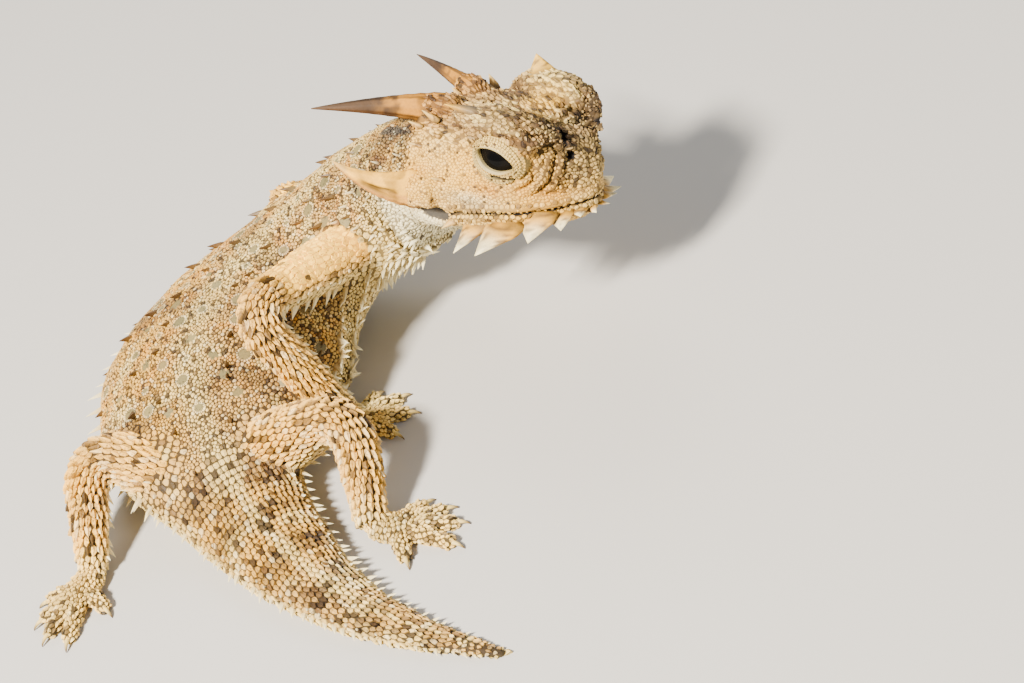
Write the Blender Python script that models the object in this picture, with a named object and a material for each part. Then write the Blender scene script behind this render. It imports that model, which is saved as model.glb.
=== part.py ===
# A horned lizard at life size, standing on the floor with its chest raised and its head turned right.
# Sizes are in millimetres and degrees, and the meshes are made in metres.
# +X is ahead of the chest, +Y the animal's left, +Z up, with the origin on the belly's floor flat.
# Places on the body are stations: millimetres along the spine, ahead of the origin.

import math
import random

import bmesh
import bpy
import numpy as np
from mathutils import Matrix, Quaternion, Vector

MM = 0.001

# Driving dimensions
GAP = 0.3
HEAD_STATION = 42.0
TAIL_END = -62.0
RING_SIDES = 24
RING_SPACING = 2.8
BACK_POWER = 1.8
BELLY_POWER = 3.0
BELLY_SINK = 0.4

BODY_NODES = {
    "tail_tip": (TAIL_END, -40.0),
    "tail_base": (-40.0, -19.0),
    "pelvis": (-19.0, -9.0),
    "trunk": (-9.0, 19.0),
    "chest": (19.0, 33.0),
    "neck": (33.0, HEAD_STATION),
}

# Half-width, back height and belly depth about the spine's line, by station
HALF_WIDTH = [(-62, 0.7), (-54, 1.7), (-42, 3.3), (-32, 4.9), (-24, 6.2), (-18, 7.8), (-12, 10.8),
              (-6, 13.6), (1, 15.2), (10, 13.8), (19, 11.0), (26, 9.3), (33, 8.0), (38, 7.5), (42, 7.7)]
BACK_HEIGHT = [(-62, 0.6), (-54, 1.1), (-42, 1.8), (-32, 2.6), (-24, 3.4), (-18, 4.4), (-12, 5.8),
               (-6, 7.0), (1, 8.0), (10, 8.2), (19, 7.6), (26, 6.9), (33, 6.2), (42, 6.0)]
BELLY_DEPTH = [(-62, 0.6), (-54, 1.0), (-42, 1.5), (-32, 2.1), (-24, 2.7), (-18, 3.6), (-12, 4.8),
               (-6, 5.6), (1, 6.2), (10, 6.0), (19, 5.4), (26, 5.2), (33, 5.0), (42, 5.0)]
# How far the chest and throat hang below that
THROAT_SAG = [(14, 0.0), (19, 0.3), (26, 1.4), (31, 3.3), (37, 4.3), (42, 3.0)]
# How high the belly would be off the floor without it
BELLY_LIFT = [(-62, 0.0), (-2, 0.0), (10, 1.2), (20, 5.0), (28, 9.2), (35, 12.7), (42, 15.3)]
# Which way the spine points: to the left, up, and rolled with its left side up
YAW = [(-62, 140), (-52, 133), (-40, 120), (-30, 111), (-19, 102), (-9, 86), (0, 62), (10, 33), (19, 9),
       (26, -11), (32, -31), (37, -44), (42, -46.5)]
PITCH = [(-62, 0), (-10, 0), (10, 10), (24, 22), (34, 14), (42, -11.6)]
ROLL = [(-62, 0), (20, 0), (42, -17.2)]

# The head, measured ahead of its hinge with the neck, out to its left and up from mouth level
HEAD_SIDES = 28
HEAD_RINGS = (GAP / 2, 2, 4.5, 7, 9, 11, 13, 15, 16.3, 17.2, 17.9, 18.5, 18.9, 19.2)
CROWN_POWER = 2.6
THROAT_POWER = 2.4
HEAD_WIDTH = [(0, 8.0), (3, 8.7), (7, 8.5), (11, 7.7), (14, 6.3), (16.3, 4.7), (17.8, 3.2), (18.8, 1.8),
              (19.2, 1.0)]
CROWN_HEIGHT = [(0, 6.9), (3, 7.7), (7, 8.3), (11, 8.4), (14, 8.2), (16.3, 7.5), (17.8, 6.2),
                (18.8, 4.2), (19.2, 2.6)]
THROAT_DEPTH = [(0, 7.2), (3, 6.7), (7, 5.5), (11, 4.5), (14, 3.8), (16.3, 3.0), (17.8, 2.4), (18.8, 1.6),
                (19.2, 0.9)]
GAPE = Vector((6.0, 0.0, -2.1))
MOUTH_RISE = 10.5

EYE_CENTRE = Vector((11.0, 4.9, 5.0))
EYE_RADIUS = 2.8
LID_THICKNESS = 0.55
LID_OPENING = (1.8, 1.1)
LID_SLANT = -13.0
NOSTRIL = Vector((17.5, 2.5, 5.5))
NOSTRIL_RADIUS = 0.5
EAR = Vector((4.3, 8.6, -2.3))
EAR_SIZE = (1.35, 0.8, 0.85)

# Ridges and domes of the skull, each a path of (place, radius)
BROW_DOME = Vector((10.7, 5.3, 7.2))
BROW_DOME_SIZE = (4.6, 2.8, 3.1)
BROW = [((4.6, 5.4, 7.6), 0.6), ((6.6, 6.5, 8.8), 1.0), ((9.0, 6.9, 9.0), 1.1), ((12.0, 6.5, 8.9), 1.1),
        ((14.3, 5.2, 8.4), 1.0), ((16.2, 3.9, 8.0), 0.75), ((17.7, 2.85, 6.2), 0.45)]
TEMPLE = [((9.5, 6.8, 1.6), 0.8), ((6.0, 7.5, 1.0), 1.6), ((3.0, 8.0, 0.2), 1.9), ((1.2, 8.2, 0.0), 1.6)]
JAW_FLANGE = [((4.0, 7.4, -2.8), 0.8), ((8.5, 7.3, -2.7), 1.1), ((12.5, 6.3, -2.1), 1.0),
              ((16.0, 4.2, -1.3), 0.8), ((17.8, 2.0, -0.8), 0.5)]
LIPS = [((5.0, 7.9, -2.1), 0.5), ((9.0, 7.9, -1.5), 0.7), ((13.0, 6.7, -0.8), 0.7), ((16.3, 4.4, -0.1), 0.65),
        ((17.7, 2.6, 0.1), 0.6), ((18.8, 0.9, 0.25), 0.5)]

# Horns: root on the head, a point that bends the way, tip, and radius at the root
OCCIPITAL_HORN = ((0.6, 3.4, 6.9), (-5.2, 6.3, 6.9), (-11.0, 9.6, 6.1), 1.55)
TEMPORAL_HORN = ((1.6, 8.9, -0.1), (-2.9, 10.6, -0.6), (-6.8, 11.4, 1.7), 1.6)
HORN_SIDES = 8
HORN_COLLAR = 0.9

# Thorns on the head: root, way out, length and width
BROW_THORN = ((7.6, 6.6, 9.4), (-1.85, 2.0, 1.0), 2.7, 2.4)
CROWN_THORNS = [((0.8, 0.9, 6.9), (-0.8, 0.1, 0.6), 1.1, 1.0), ((2.2, 5.6, 6.8), (-0.7, 0.4, 0.6), 1.5, 1.3),
                ((1.6, 7.2, 4.2), (-0.8, 0.6, 0.2), 1.3, 1.2), ((5.2, 8.6, 1.7), (-0.5, 0.8, 0.3), 1.1, 1.2)]
JAW_THORNS = [((8.9, 8.0, -3.1), (-0.7, 2.4, -2.1), 3.2, 2.0),
              ((11.7, 7.2, -2.6), (-0.9, 3.4, -2.0), 3.9, 3.4),
              ((15.0, 5.6, -1.5), (0.6, 2.25, -1.8), 2.6, 3.3),
              ((17.0, 3.9, -1.1), (1.15, 1.6, -0.8), 2.0, 2.3),
              ((18.3, 2.5, -0.6), (0.8, 0.8, -0.1), 1.1, 1.4)]
THORN_SINK = 0.4
THORN_THICKNESS = 0.6

# Fringe along each flank and the tail: angle above the edge, length, width, and how far back it leans
FLANK_FRINGE = ((6.0, 2.0, 1.3, 0.35), (-14.0, 1.3, 1.1, 0.35))
TAIL_FRINGE = (4.0, 1.4, 1.2, 0.5)
FRINGE_SPACING = 2.3
# Thorns on the back: angle from the flank's edge towards the spine, then length and width
BACK_THORNS = ((72.0, 1.3, 1.2), (48.0, 1.6, 1.3), (24.0, 1.2, 1.1))
BACK_THORN_SPACING = 4.4
# Thorns lean back, so they keep further from a node's rear end
END_MARGIN = 0.9
REAR_MARGIN = 1.6
SEED = 11

# Limbs: joints by place, then radius by share of the way from root to wrist or ankle
ARM_ROOT = (26.5, 4.0, -1.5)
LEG_ROOT = (-14.5, 3.0, -0.3)
ARM_RADIUS = [(0.0, 3.3), (0.25, 3.1), (0.45, 2.5), (0.6, 2.3), (0.8, 2.1), (1.0, 1.5)]
LEG_RADIUS = [(0.0, 3.8), (0.25, 3.5), (0.45, 2.6), (0.6, 2.4), (0.8, 2.1), (1.0, 1.5)]
LIMB_SIDES = 12
LIMB_CORNER = 5.6
LIMB_RING_SPACING = 2.2
WRIST_LENGTH = 2.4
WRIST_HEIGHT = 1.5
PALM_HEIGHT = 1.0
TOE_HEIGHTS = (0.9, 0.75, 0.45)
TOE_RADII = (0.9, 0.9, 0.65)
CLAW_RADII = (0.4, 0.3, 0.08)
LIMB_THORNS = ((248, 1.1, 1.1), (292, 0.9, 1.0), (201, 0.9, 1.0))
LIMB_THORN_SPACING = 2.3

# Paws: palm's half sizes, how far it lies past the wrist, then the right side's toes, inner to outer
HAND = {"palm": (2.2, 1.9, 1.1), "palm_reach": 1.0, "angles": (75, 38, 2, -34, -72),
        "lengths": (2.4, 3.2, 3.6, 3.4, 2.6)}
FOOT = {"palm": (3.2, 1.9, 1.1), "palm_reach": 2.4, "angles": (62, 32, 8, -16, -58),
        "lengths": (2.4, 3.6, 4.8, 5.6, 3.0)}

# Joints of each limb: steps from its root in the model's axes, and the way the toes point
LIMBS = {
    "arm_R": {"elbow": (-14.4, -15.4, 6.4), "wrist": (5.6, -1.0, -14.6), "toes": -20},
    "arm_L": {"elbow": (-12.4, 14.6, -3.6), "wrist": (11.6, 6.0, -6.0), "toes": 40},
    "leg_R": {"elbow": (12.5, -6.0, 5.4), "wrist": (-2.0, -10.0, -8.6), "toes": -30},
    "leg_L": {"elbow": (-10.5, 6.5, 5.6), "wrist": (-3.0, -10.5, -8.4), "toes": 235},
}

COLOURS = {
    "back": (0.66, 0.55, 0.38),
    "head": (0.70, 0.58, 0.40),
    "leg": (0.74, 0.62, 0.40),
    "tail": (0.72, 0.64, 0.50),
    "horn": (0.42, 0.36, 0.30),
    "temple_horn": (0.78, 0.58, 0.36),
    "eye": (0.03, 0.02, 0.02),
}


# A smooth curve through (place, value) pairs that never overshoots them
def track(keys):
    places = np.array([key[0] for key in keys], float)
    values = np.array([key[1] for key in keys], float)
    steps = np.diff(places)
    slopes = np.diff(values) / steps
    tangents = np.zeros(len(places))
    tangents[0] = slopes[0]
    tangents[-1] = slopes[-1]
    for i in range(1, len(slopes)):
        if slopes[i - 1] * slopes[i] > 0:
            tangents[i] = 2 * slopes[i - 1] * slopes[i] / (slopes[i - 1] + slopes[i])

    def value(place):
        place = min(max(place, places[0]), places[-1])
        i = min(int(np.searchsorted(places, place, side="right")) - 1, len(steps) - 1)
        t = (place - places[i]) / steps[i]
        start = (1 + 2 * t) * (1 - t) ** 2 * values[i] + t * (1 - t) ** 2 * steps[i] * tangents[i]
        end = t * t * (3 - 2 * t) * values[i + 1] - t * t * (1 - t) * steps[i] * tangents[i + 1]
        return start + end

    return value


half_width = track(HALF_WIDTH)
back_height = track(BACK_HEIGHT)
belly_depth = track(BELLY_DEPTH)
throat_sag = track(THROAT_SAG)
belly_lift = track(BELLY_LIFT)
yaw = track(YAW)
pitch = track(PITCH)
roll = track(ROLL)
head_width = track(HEAD_WIDTH)
crown_height = track(CROWN_HEIGHT)
throat_depth = track(THROAT_DEPTH)


# Height of the spine's line above the floor
def spine_height(station):
    return belly_lift(station) + belly_depth(station) - BELLY_SINK


# The spine's line, walked out from the origin both ways in short steps
def walk_spine():
    step = 0.25
    line = {0: Vector((0, 0, spine_height(0)))}
    for way, end in ((1, HEAD_STATION), (-1, TAIL_END)):
        place = line[0].copy()
        for i in range(1, round(abs(end) / step) + 1):
            station = way * i * step
            rise = spine_height(station) - place.z
            heading = math.radians(yaw(station - way * step / 2))
            run = way * math.sqrt(step * step - rise * rise)
            place = place + Vector((run * math.cos(heading), run * math.sin(heading), rise))
            line[way * i] = place.copy()
    return step, line


SPINE_STEP, SPINE = walk_spine()


# A point on the spine's line
def spine_point(station):
    index = station / SPINE_STEP
    low = math.floor(index)
    near = SPINE[low]
    far = SPINE.get(low + 1, near)
    return near.lerp(far, index - low)


# Axes that point ahead, left and up, from yaw, pitch and roll in degrees
def turned_axes(heading, rise, bank):
    heading, rise, bank = (math.radians(angle) for angle in (heading, rise, bank))
    ahead = Vector((math.cos(rise) * math.cos(heading), math.cos(rise) * math.sin(heading), math.sin(rise)))
    level_left = Vector((-math.sin(heading), math.cos(heading), 0))
    level_up = ahead.cross(level_left)
    left = level_left * math.cos(bank) + level_up * math.sin(bank)
    return ahead, left, ahead.cross(left)


def body_axes(station):
    return turned_axes(yaw(station), pitch(station), roll(station))


# A place beside the spine: its station, how far left and how far up
def beside_spine(station, left_by, up_by):
    ahead, left, up = body_axes(station)
    return spine_point(station) + left * left_by + up * up_by


def signed_power(value, power):
    return math.copysign(abs(value) ** power, value)


# How far the body reaches below the spine's line
def reach_below(station):
    return belly_depth(station) + throat_sag(station)


# A point on the skin at a station, with the angle turning from the left edge over the back
def skin_point(station, angle, swell=0.0):
    height = math.sin(angle)
    power = 2 / (BACK_POWER if height >= 0 else BELLY_POWER)
    reach = back_height(station) if height >= 0 else reach_below(station)
    left_by = (half_width(station) + swell) * signed_power(math.cos(angle), power)
    up_by = (reach + swell) * signed_power(height, power)
    return beside_spine(station, left_by, up_by)


# The way out of the skin at a station and angle
def skin_normal(station, angle):
    step = 0.05
    along = skin_point(station + step, angle) - skin_point(station - step, angle)
    around = skin_point(station, angle + step) - skin_point(station, angle - step)
    return along.cross(around).normalized() * -1


# True where a point is inside the body, or closer to it than the margin
def in_body(point, margin):
    for station in np.arange(-30, HEAD_STATION + 0.5, 1.0):
        ahead, left, up = body_axes(station)
        offset = point - spine_point(station)
        if abs(offset.dot(ahead)) > 0.8:
            continue
        height = offset.dot(up)
        power = BACK_POWER if height >= 0 else BELLY_POWER
        reach = back_height(station) if height >= 0 else reach_below(station)
        across = abs(offset.dot(left)) / (half_width(station) + margin)
        if across ** power + (abs(height) / (reach + margin)) ** power < 1:
            return True
    return False


# A point in the head's own axes, moved to its place on the neck
def on_head(place):
    ahead, left, up = body_axes(HEAD_STATION)
    return spine_point(HEAD_STATION) + ahead * place[0] + left * place[1] + up * place[2]


# A direction in the head's own axes
def head_way(way):
    return (on_head(way) - on_head((0, 0, 0))).normalized()


def head_matrix():
    ahead, left, up = body_axes(HEAD_STATION)
    turn = Matrix((ahead, left, up)).transposed().to_4x4()
    return Matrix.Translation(spine_point(HEAD_STATION)) @ turn


def mirrored(place, side):
    return Vector((place[0], side * place[1], place[2]))


# Places from one end to the other, about one spacing apart
def spread(start, end, spacing):
    count = max(2, round(abs(end - start) / spacing) + 1)
    return np.linspace(start, end, count)


# A path that bends once, from root to tip
def bent_line(root, bend, tip, count):
    path = []
    for i in range(count):
        t = i / (count - 1)
        path.append(root * (1 - t) ** 2 + bend * 2 * t * (1 - t) + tip * t * t)
    return path


# A smooth path through joints, with the corner at each inner joint rounded off
def jointed_path(joints, corner):
    path = [joints[0]]
    for before, joint, after in zip(joints, joints[1:], joints[2:]):
        start = joint + (before - joint).normalized() * corner
        end = joint + (after - joint).normalized() * corner
        path += bent_line(start, joint, end, 9)
    path.append(joints[-1])
    return path


def path_lengths(path):
    lengths = [0.0]
    for near, far in zip(path, path[1:]):
        lengths.append(lengths[-1] + (far - near).length)
    return lengths


# The path between two distances along it, in even steps
def path_between(path, start, end, spacing):
    lengths = path_lengths(path)
    distances = spread(start, end, spacing)
    points = []
    for distance in distances:
        axes = [np.interp(distance, lengths, [point[axis] for point in path]) for axis in range(3)]
        points.append(Vector(axes))
    return points, distances


# Rings square to a path, each a circle, turned the same way all along
def rings_along(path, radii, sides, upright=Vector((0, 0, 1))):
    rings = []
    side = None
    for i, (place, radius) in enumerate(zip(path, radii)):
        along = (path[min(i + 1, len(path) - 1)] - path[max(i - 1, 0)]).normalized()
        if side is None:
            side = along.cross(upright)
        side = (side - along * side.dot(along)).normalized()
        over = side.cross(along)
        ring = []
        for k in range(sides):
            turn = 2 * math.pi * k / sides
            ring.append(place + side * radius * math.cos(turn) + over * radius * math.sin(turn))
        rings.append(ring)
    return rings


# Where a limb runs, and how thick it is along its path
class Limb:
    def __init__(self, name, plan):
        kind, self.label = name.split("_")
        self.side = 1 if self.label == "L" else -1
        self.is_arm = kind == "arm"
        station, out, up = ARM_ROOT if self.is_arm else LEG_ROOT
        root = beside_spine(station, self.side * out, up)
        elbow = root + Vector(plan["elbow"])
        self.wrist = elbow + Vector(plan["wrist"])
        self.wrist.z = WRIST_HEIGHT
        self.path = jointed_path([root, elbow, self.wrist], LIMB_CORNER)
        lengths = path_lengths(self.path)
        self.length = lengths[-1]
        self.bend = (lengths[1] + lengths[9]) / 2
        self.toes_point = math.radians(plan["toes"])
        self.thickness = track(ARM_RADIUS if self.is_arm else LEG_RADIUS)
        self.fine_path, self.fine_distances = path_between(self.path, 0, self.length, 0.5)
        radii = [self.radius(distance) for distance in self.fine_distances]
        self.fine_rings = rings_along(self.fine_path, radii, LIMB_SIDES)

    def radius(self, distance):
        return self.thickness(distance / self.length)

    # How far a point is from the limb's surface
    def room(self, point):
        pairs = zip(self.fine_path, self.fine_distances)
        return min((point - place).length - self.radius(distance) for place, distance in pairs)

    # The limb's middle and one point of its skin, at a distance along it and an angle round it
    def place(self, distance, angle):
        share = distance / self.length * (len(self.fine_rings) - 1)
        low = min(int(share), len(self.fine_rings) - 2)
        step = angle / 360 * LIMB_SIDES
        k = int(step) % LIMB_SIDES
        middle = self.fine_path[low].lerp(self.fine_path[low + 1], share - low)
        ring = self.fine_rings[low]
        skin = ring[k].lerp(ring[(k + 1) % LIMB_SIDES], step - int(step))
        return middle, skin

    # How far a point is inside the two planes that end a length of the limb
    def inside_ends(self, point, start, end):
        first, last = self.place(start, 0)[0], self.place(end, 0)[0]
        first_way = (self.place(start + 0.5, 0)[0] - first).normalized()
        last_way = (last - self.place(end - 0.5, 0)[0]).normalized()
        return min((point - first).dot(first_way), (last - point).dot(last_way))

    # Rings between two distances
    def rings(self, start, end):
        chosen = []
        for distance in spread(start, end, LIMB_RING_SPACING):
            share = distance / self.length * (len(self.fine_rings) - 1)
            low = min(int(share), len(self.fine_rings) - 2)
            pairs = zip(self.fine_rings[low], self.fine_rings[low + 1])
            chosen.append([near.lerp(far, share - low) for near, far in pairs])
        return chosen


ALL_LIMBS = [Limb(name, plan) for name, plan in LIMBS.items()]


# A horn's path and its radii, from root to tip
def horn_line(keys, side, count=12):
    root, bend, tip, root_radius = keys
    path = bent_line(on_head(mirrored(root, side)), on_head(mirrored(bend, side)),
                     on_head(mirrored(tip, side)), count)
    radii = [root_radius * (1 - i / (count - 1)) ** 0.95 + 0.12 for i in range(count)]
    return path, radii


ALL_HORNS = [horn_line(keys, side) for keys in (OCCIPITAL_HORN, TEMPORAL_HORN) for side in (1, -1)]


# How far a point is from the nearest limb or horn
def room_around(point):
    room = min(limb.room(point) for limb in ALL_LIMBS)
    for path, radii in ALL_HORNS:
        room = min(room, min((point - place).length - radius for place, radius in zip(path, radii)))
    return room


def new_material(name, colour, roughness=0.75):
    material = bpy.data.materials.new(name)
    material.use_nodes = True
    shader = material.node_tree.nodes["Principled BSDF"]
    shader.inputs["Base Color"].default_value = (*colour, 1)
    shader.inputs["Roughness"].default_value = roughness
    shader.inputs["Metallic"].default_value = 0.0
    return material


def link_mesh(mesh, name, group):
    bmesh.ops.recalc_face_normals(mesh, faces=mesh.faces)
    data = bpy.data.meshes.new(name)
    mesh.to_mesh(data)
    mesh.free()
    obj = bpy.data.objects.new(name, data)
    group.objects.link(obj)
    return obj


# A closed solid through rings of points, all with the same count
def loft(name, rings, group):
    mesh = bmesh.new()
    loops = []
    for ring in rings:
        loops.append([mesh.verts.new(point * MM) for point in ring])
    for near, far in zip(loops, loops[1:]):
        for i in range(len(near)):
            j = (i + 1) % len(near)
            mesh.faces.new((near[i], near[j], far[j], far[i]))
    mesh.faces.new(loops[0][::-1])
    mesh.faces.new(loops[-1])
    return link_mesh(mesh, name, group)


def ball(name, centre, size, group, segments=12, rings=8, turn=None):
    mesh = bmesh.new()
    matrix = turn.to_4x4() if turn else Matrix.Identity(4)
    matrix = Matrix.Translation(centre * MM) @ matrix @ Matrix.Diagonal((*(Vector(size) * MM), 1))
    bmesh.ops.create_uvsphere(mesh, u_segments=segments, v_segments=rings, radius=1, matrix=matrix)
    return link_mesh(mesh, name, group)


# A flat-sided thorn with its root sunk in, its broad side facing along the given way
def thorn(root, out, length, width, broad, group, sides=5):
    out = out.normalized()
    broad = (broad - out * broad.dot(out)).normalized()
    across = out.cross(broad)
    sink = length * THORN_SINK
    depth = length + sink
    middle = root + out * (depth / 2 - sink)
    turn = Matrix((broad * width / 2, across * width / 2 * THORN_THICKNESS, out * depth)).transposed()
    matrix = Matrix.Translation(middle * MM) @ (turn * MM).to_4x4()
    mesh = bmesh.new()
    bmesh.ops.create_cone(mesh, cap_ends=True, segments=sides, radius1=1, radius2=0, depth=1, matrix=matrix)
    bmesh.ops.remove_doubles(mesh, verts=mesh.verts, dist=0.0000001)
    return link_mesh(mesh, "thorn", group)


def apply_modifiers(obj):
    depsgraph = bpy.context.evaluated_depsgraph_get()
    data = bpy.data.meshes.new_from_object(obj.evaluated_get(depsgraph))
    old = obj.data
    obj.modifiers.clear()
    obj.data = data
    bpy.data.meshes.remove(old)


# Faces joined edge to edge, as sets of faces
def shells_of(mesh):
    waiting = set(mesh.faces)
    shells = []
    while waiting:
        shell = set()
        front = [waiting.pop()]
        while front:
            face = front.pop()
            shell.add(face)
            for edge in face.edges:
                for other in edge.link_faces:
                    if other in waiting:
                        waiting.remove(other)
                        front.append(other)
        shells.append(shell)
    return shells


# Keeps the largest closed surface and drops loose scraps and sealed hollows
def keep_largest(obj):
    mesh = bmesh.new()
    mesh.from_mesh(obj.data)
    bmesh.ops.remove_doubles(mesh, verts=mesh.verts, dist=0.0000005)
    bmesh.ops.dissolve_degenerate(mesh, edges=mesh.edges, dist=0.0000005)
    shells = sorted(shells_of(mesh), key=lambda shell: sum(face.calc_area() for face in shell))
    scraps = [face for shell in shells[:-1] for face in shell]
    bmesh.ops.delete(mesh, geom=scraps, context="FACES")
    loose = [vert for vert in mesh.verts if not vert.link_faces]
    bmesh.ops.delete(mesh, geom=loose, context="VERTS")
    mesh.to_mesh(obj.data)
    mesh.free()


# Joins pieces to a node, or cuts them from it, in one Boolean on a collection
def combine(obj, pieces, operation):
    if not pieces:
        return
    group = bpy.data.collections.new("tools")
    bpy.context.scene.collection.children.link(group)
    for piece in pieces:
        for owner in piece.users_collection:
            owner.objects.unlink(piece)
        group.objects.link(piece)
        piece.hide_render = True
        piece.display_type = "WIRE"
    boolean = obj.modifiers.new("combine", "BOOLEAN")
    boolean.operation = operation
    boolean.operand_type = "COLLECTION"
    boolean.collection = group
    boolean.solver = "EXACT"
    apply_modifiers(obj)
    for piece in pieces:
        data = piece.data
        bpy.data.objects.remove(piece)
        if data.users == 0:
            bpy.data.meshes.remove(data)
    bpy.data.collections.remove(group)
    keep_largest(obj)


# A block under the floor, which leaves a small flat on whatever comes down to it
def floor_block(group):
    mesh = bmesh.new()
    bmesh.ops.create_cube(mesh, size=1)
    size = Vector((200, 200, 20)) * MM
    bmesh.ops.scale(mesh, vec=size, verts=mesh.verts)
    bmesh.ops.translate(mesh, vec=(0, 0, -size.z / 2), verts=mesh.verts)
    return link_mesh(mesh, "floor_block", group)


# The whole body in one piece, swollen by the gap, which trims the limbs where they leave it
def body_trimmer(group):
    rings = []
    for station in spread(-36, HEAD_STATION, RING_SPACING):
        rings.append([skin_point(station, 2 * math.pi * k / RING_SIDES, GAP) for k in range(RING_SIDES)])
    return loft("body_trimmer", rings, group)


# How far a point is inside the two planes that end a node of the body
def inside_ends(point, ends):
    start, end = ends
    from_rear = (point - spine_point(start)).dot(body_axes(start)[0])
    from_front = (spine_point(end) - point).dot(body_axes(end)[0])
    return min(from_rear, from_front)


# One thorn on the body's skin, leaning back, or nothing where something is in its way
def body_thorn(ends, station, degrees, length, width, lean, group, sides=5):
    angle = math.radians(degrees)
    root = skin_point(station, angle)
    back = -body_axes(station)[0]
    out = (skin_normal(station, angle) + back * lean).normalized()
    if inside_ends(root, ends) < width / 2 + 0.2:
        return []
    for share in (1.0, 0.75, 0.5):
        tip = root + out * length * share
        if inside_ends(tip, ends) < 0.2:
            continue
        if room_around(tip) > GAP + 0.3 and room_around(root) > GAP + width / 2:
            return [thorn(root, out, length * share, width, back, group, sides)]
    return []


# Two fringes along each flank, from the hips to the armpit
def flank_thorns(start, end, draw, group):
    pieces = []
    for row, (degrees, length, width, lean) in enumerate(FLANK_FRINGE):
        first = start + REAR_MARGIN + row * FRINGE_SPACING / 2
        for station in spread(first, end - END_MARGIN, FRINGE_SPACING):
            for edge, way in ((0, 1), (180, -1)):
                size = length * draw.uniform(0.85, 1.1)
                pieces += body_thorn((start, end), station, edge + way * degrees, size, width, lean, group)
    return pieces


def back_thorns(start, end, draw, group, scale=1.0, rows=BACK_THORNS):
    pieces = []
    for row, (degrees, length, width) in enumerate(rows):
        first = start + REAR_MARGIN + 0.3 + row % 2 * BACK_THORN_SPACING / 2
        for station in spread(first, end - END_MARGIN - 0.3, BACK_THORN_SPACING):
            for angle in (degrees, 180 - degrees):
                size = scale * draw.uniform(0.8, 1.2)
                place = station + draw.uniform(-0.3, 0.3)
                pieces += body_thorn((start, end), place, angle, length * size, width * scale, 0.7, group, 4)
    return pieces


def tail_thorns(start, end, draw, group):
    degrees, length, width, lean = TAIL_FRINGE
    pieces = []
    for station in spread(start + REAR_MARGIN, end - END_MARGIN - 0.4, FRINGE_SPACING):
        slim = min(1.0, 0.35 + half_width(station) / 6)
        for angle in (degrees, 180 - degrees):
            size = slim * draw.uniform(0.85, 1.1)
            pieces += body_thorn((start, end), station, angle, length * size, width * slim, lean, group)
        for angle in (60, 120):
            pieces += body_thorn((start, end), station + 0.4, angle, 0.8 * slim, 0.9 * slim, 0.9, group, 4)
    return pieces


def neck_thorns(start, end, draw, group):
    pieces = []
    for station in spread(start + 1.4, end - 1.8, 2.6):
        for angle in (8, 172, 35, 145, 62, 118):
            size = draw.uniform(0.85, 1.15)
            pieces += body_thorn((start, end), station, angle, 1.3 * size, 1.1, 0.6, group, 4)
    return pieces


def thorns_for(name, start, end, group):
    draw = random.Random(SEED + len(name))
    if name.startswith("tail"):
        return tail_thorns(start, end, draw, group)
    if name == "neck":
        return neck_thorns(start, end, draw, group)
    pieces = back_thorns(start, end, draw, group)
    if name == "chest":
        return pieces + flank_thorns(start, start + 6, draw, group)
    return pieces + flank_thorns(start, end, draw, group)


def make_body_node(name, parts, tools):
    start, end = BODY_NODES[name]
    start += GAP / 2
    end -= GAP / 2
    rings = []
    for station in spread(start, end, RING_SPACING):
        rings.append([skin_point(station, 2 * math.pi * k / RING_SIDES) for k in range(RING_SIDES)])
    obj = loft(name, rings, parts)
    combine(obj, thorns_for(name, start, end, tools), "UNION")
    combine(obj, [floor_block(tools)], "DIFFERENCE")


def head_ring(x):
    ring = []
    for k in range(HEAD_SIDES):
        angle = 2 * math.pi * k / HEAD_SIDES
        height = math.sin(angle)
        power = 2 / (CROWN_POWER if height >= 0 else THROAT_POWER)
        reach = crown_height(x) if height >= 0 else throat_depth(x)
        left_by = head_width(x) * signed_power(math.cos(angle), power)
        ring.append(on_head((x, left_by, reach * signed_power(height, power))))
    return ring


# A tapered ridge through a few (place, radius) pairs given in the head's axes
def head_ridge(name, keys, side, group):
    path = [on_head(mirrored(place, side)) for place, radius in keys]
    radii = [radius for place, radius in keys]
    return loft(name, rings_along(path, radii, 7), group)


# The box in front of the gape and below the mouth's line, shrunk where the jaw is cut from it
def mouth_box(shrink, group):
    mesh = bmesh.new()
    bmesh.ops.create_cube(mesh, size=1)
    size = Vector((40, 40, 20))
    bmesh.ops.scale(mesh, vec=size * MM, verts=mesh.verts)
    middle = Vector((size.x / 2 + shrink, 0, -size.z / 2 - shrink))
    bmesh.ops.translate(mesh, vec=middle * MM, verts=mesh.verts)
    rise = Matrix.Rotation(-math.radians(MOUTH_RISE), 4, "Y")
    place = head_matrix() @ Matrix.Translation(GAPE) @ rise
    place.translation *= MM
    bmesh.ops.transform(mesh, matrix=place, verts=mesh.verts)
    return link_mesh(mesh, "mouth_box", group)


# The opening between the lids: a flat tube out through them
def lid_opening(side, group):
    out = head_way((0.3, side * 4.0, 0.2))
    front = head_way((1, 0, 0))
    front = (front - out * front.dot(out)).normalized()
    front = Quaternion(out, side * math.radians(-LID_SLANT)) @ front
    upper = out.cross(front)
    centre = on_head(mirrored(EYE_CENTRE, side))
    rings = []
    for depth in (EYE_RADIUS * 0.5, EYE_RADIUS * 2.0):
        ring = []
        for k in range(14):
            turn = 2 * math.pi * k / 14
            wide = front * LID_OPENING[0] * math.cos(turn)
            high = upper * LID_OPENING[1] * math.sin(turn)
            ring.append(centre + out * depth + wide + high)
        rings.append(ring)
    return loft("lid_opening", rings, group)


# The collar on the head that a horn stands on
def horn_collar(keys, side, group):
    path, radii = horn_line(keys, side)
    along = (path[1] - path[0]).normalized()
    ends = [path[0] - along * 2.2, path[0] + along * HORN_COLLAR]
    return loft("collar", rings_along(ends, [radii[0] * 1.05, radii[0] * 0.97], HORN_SIDES), group)


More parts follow.
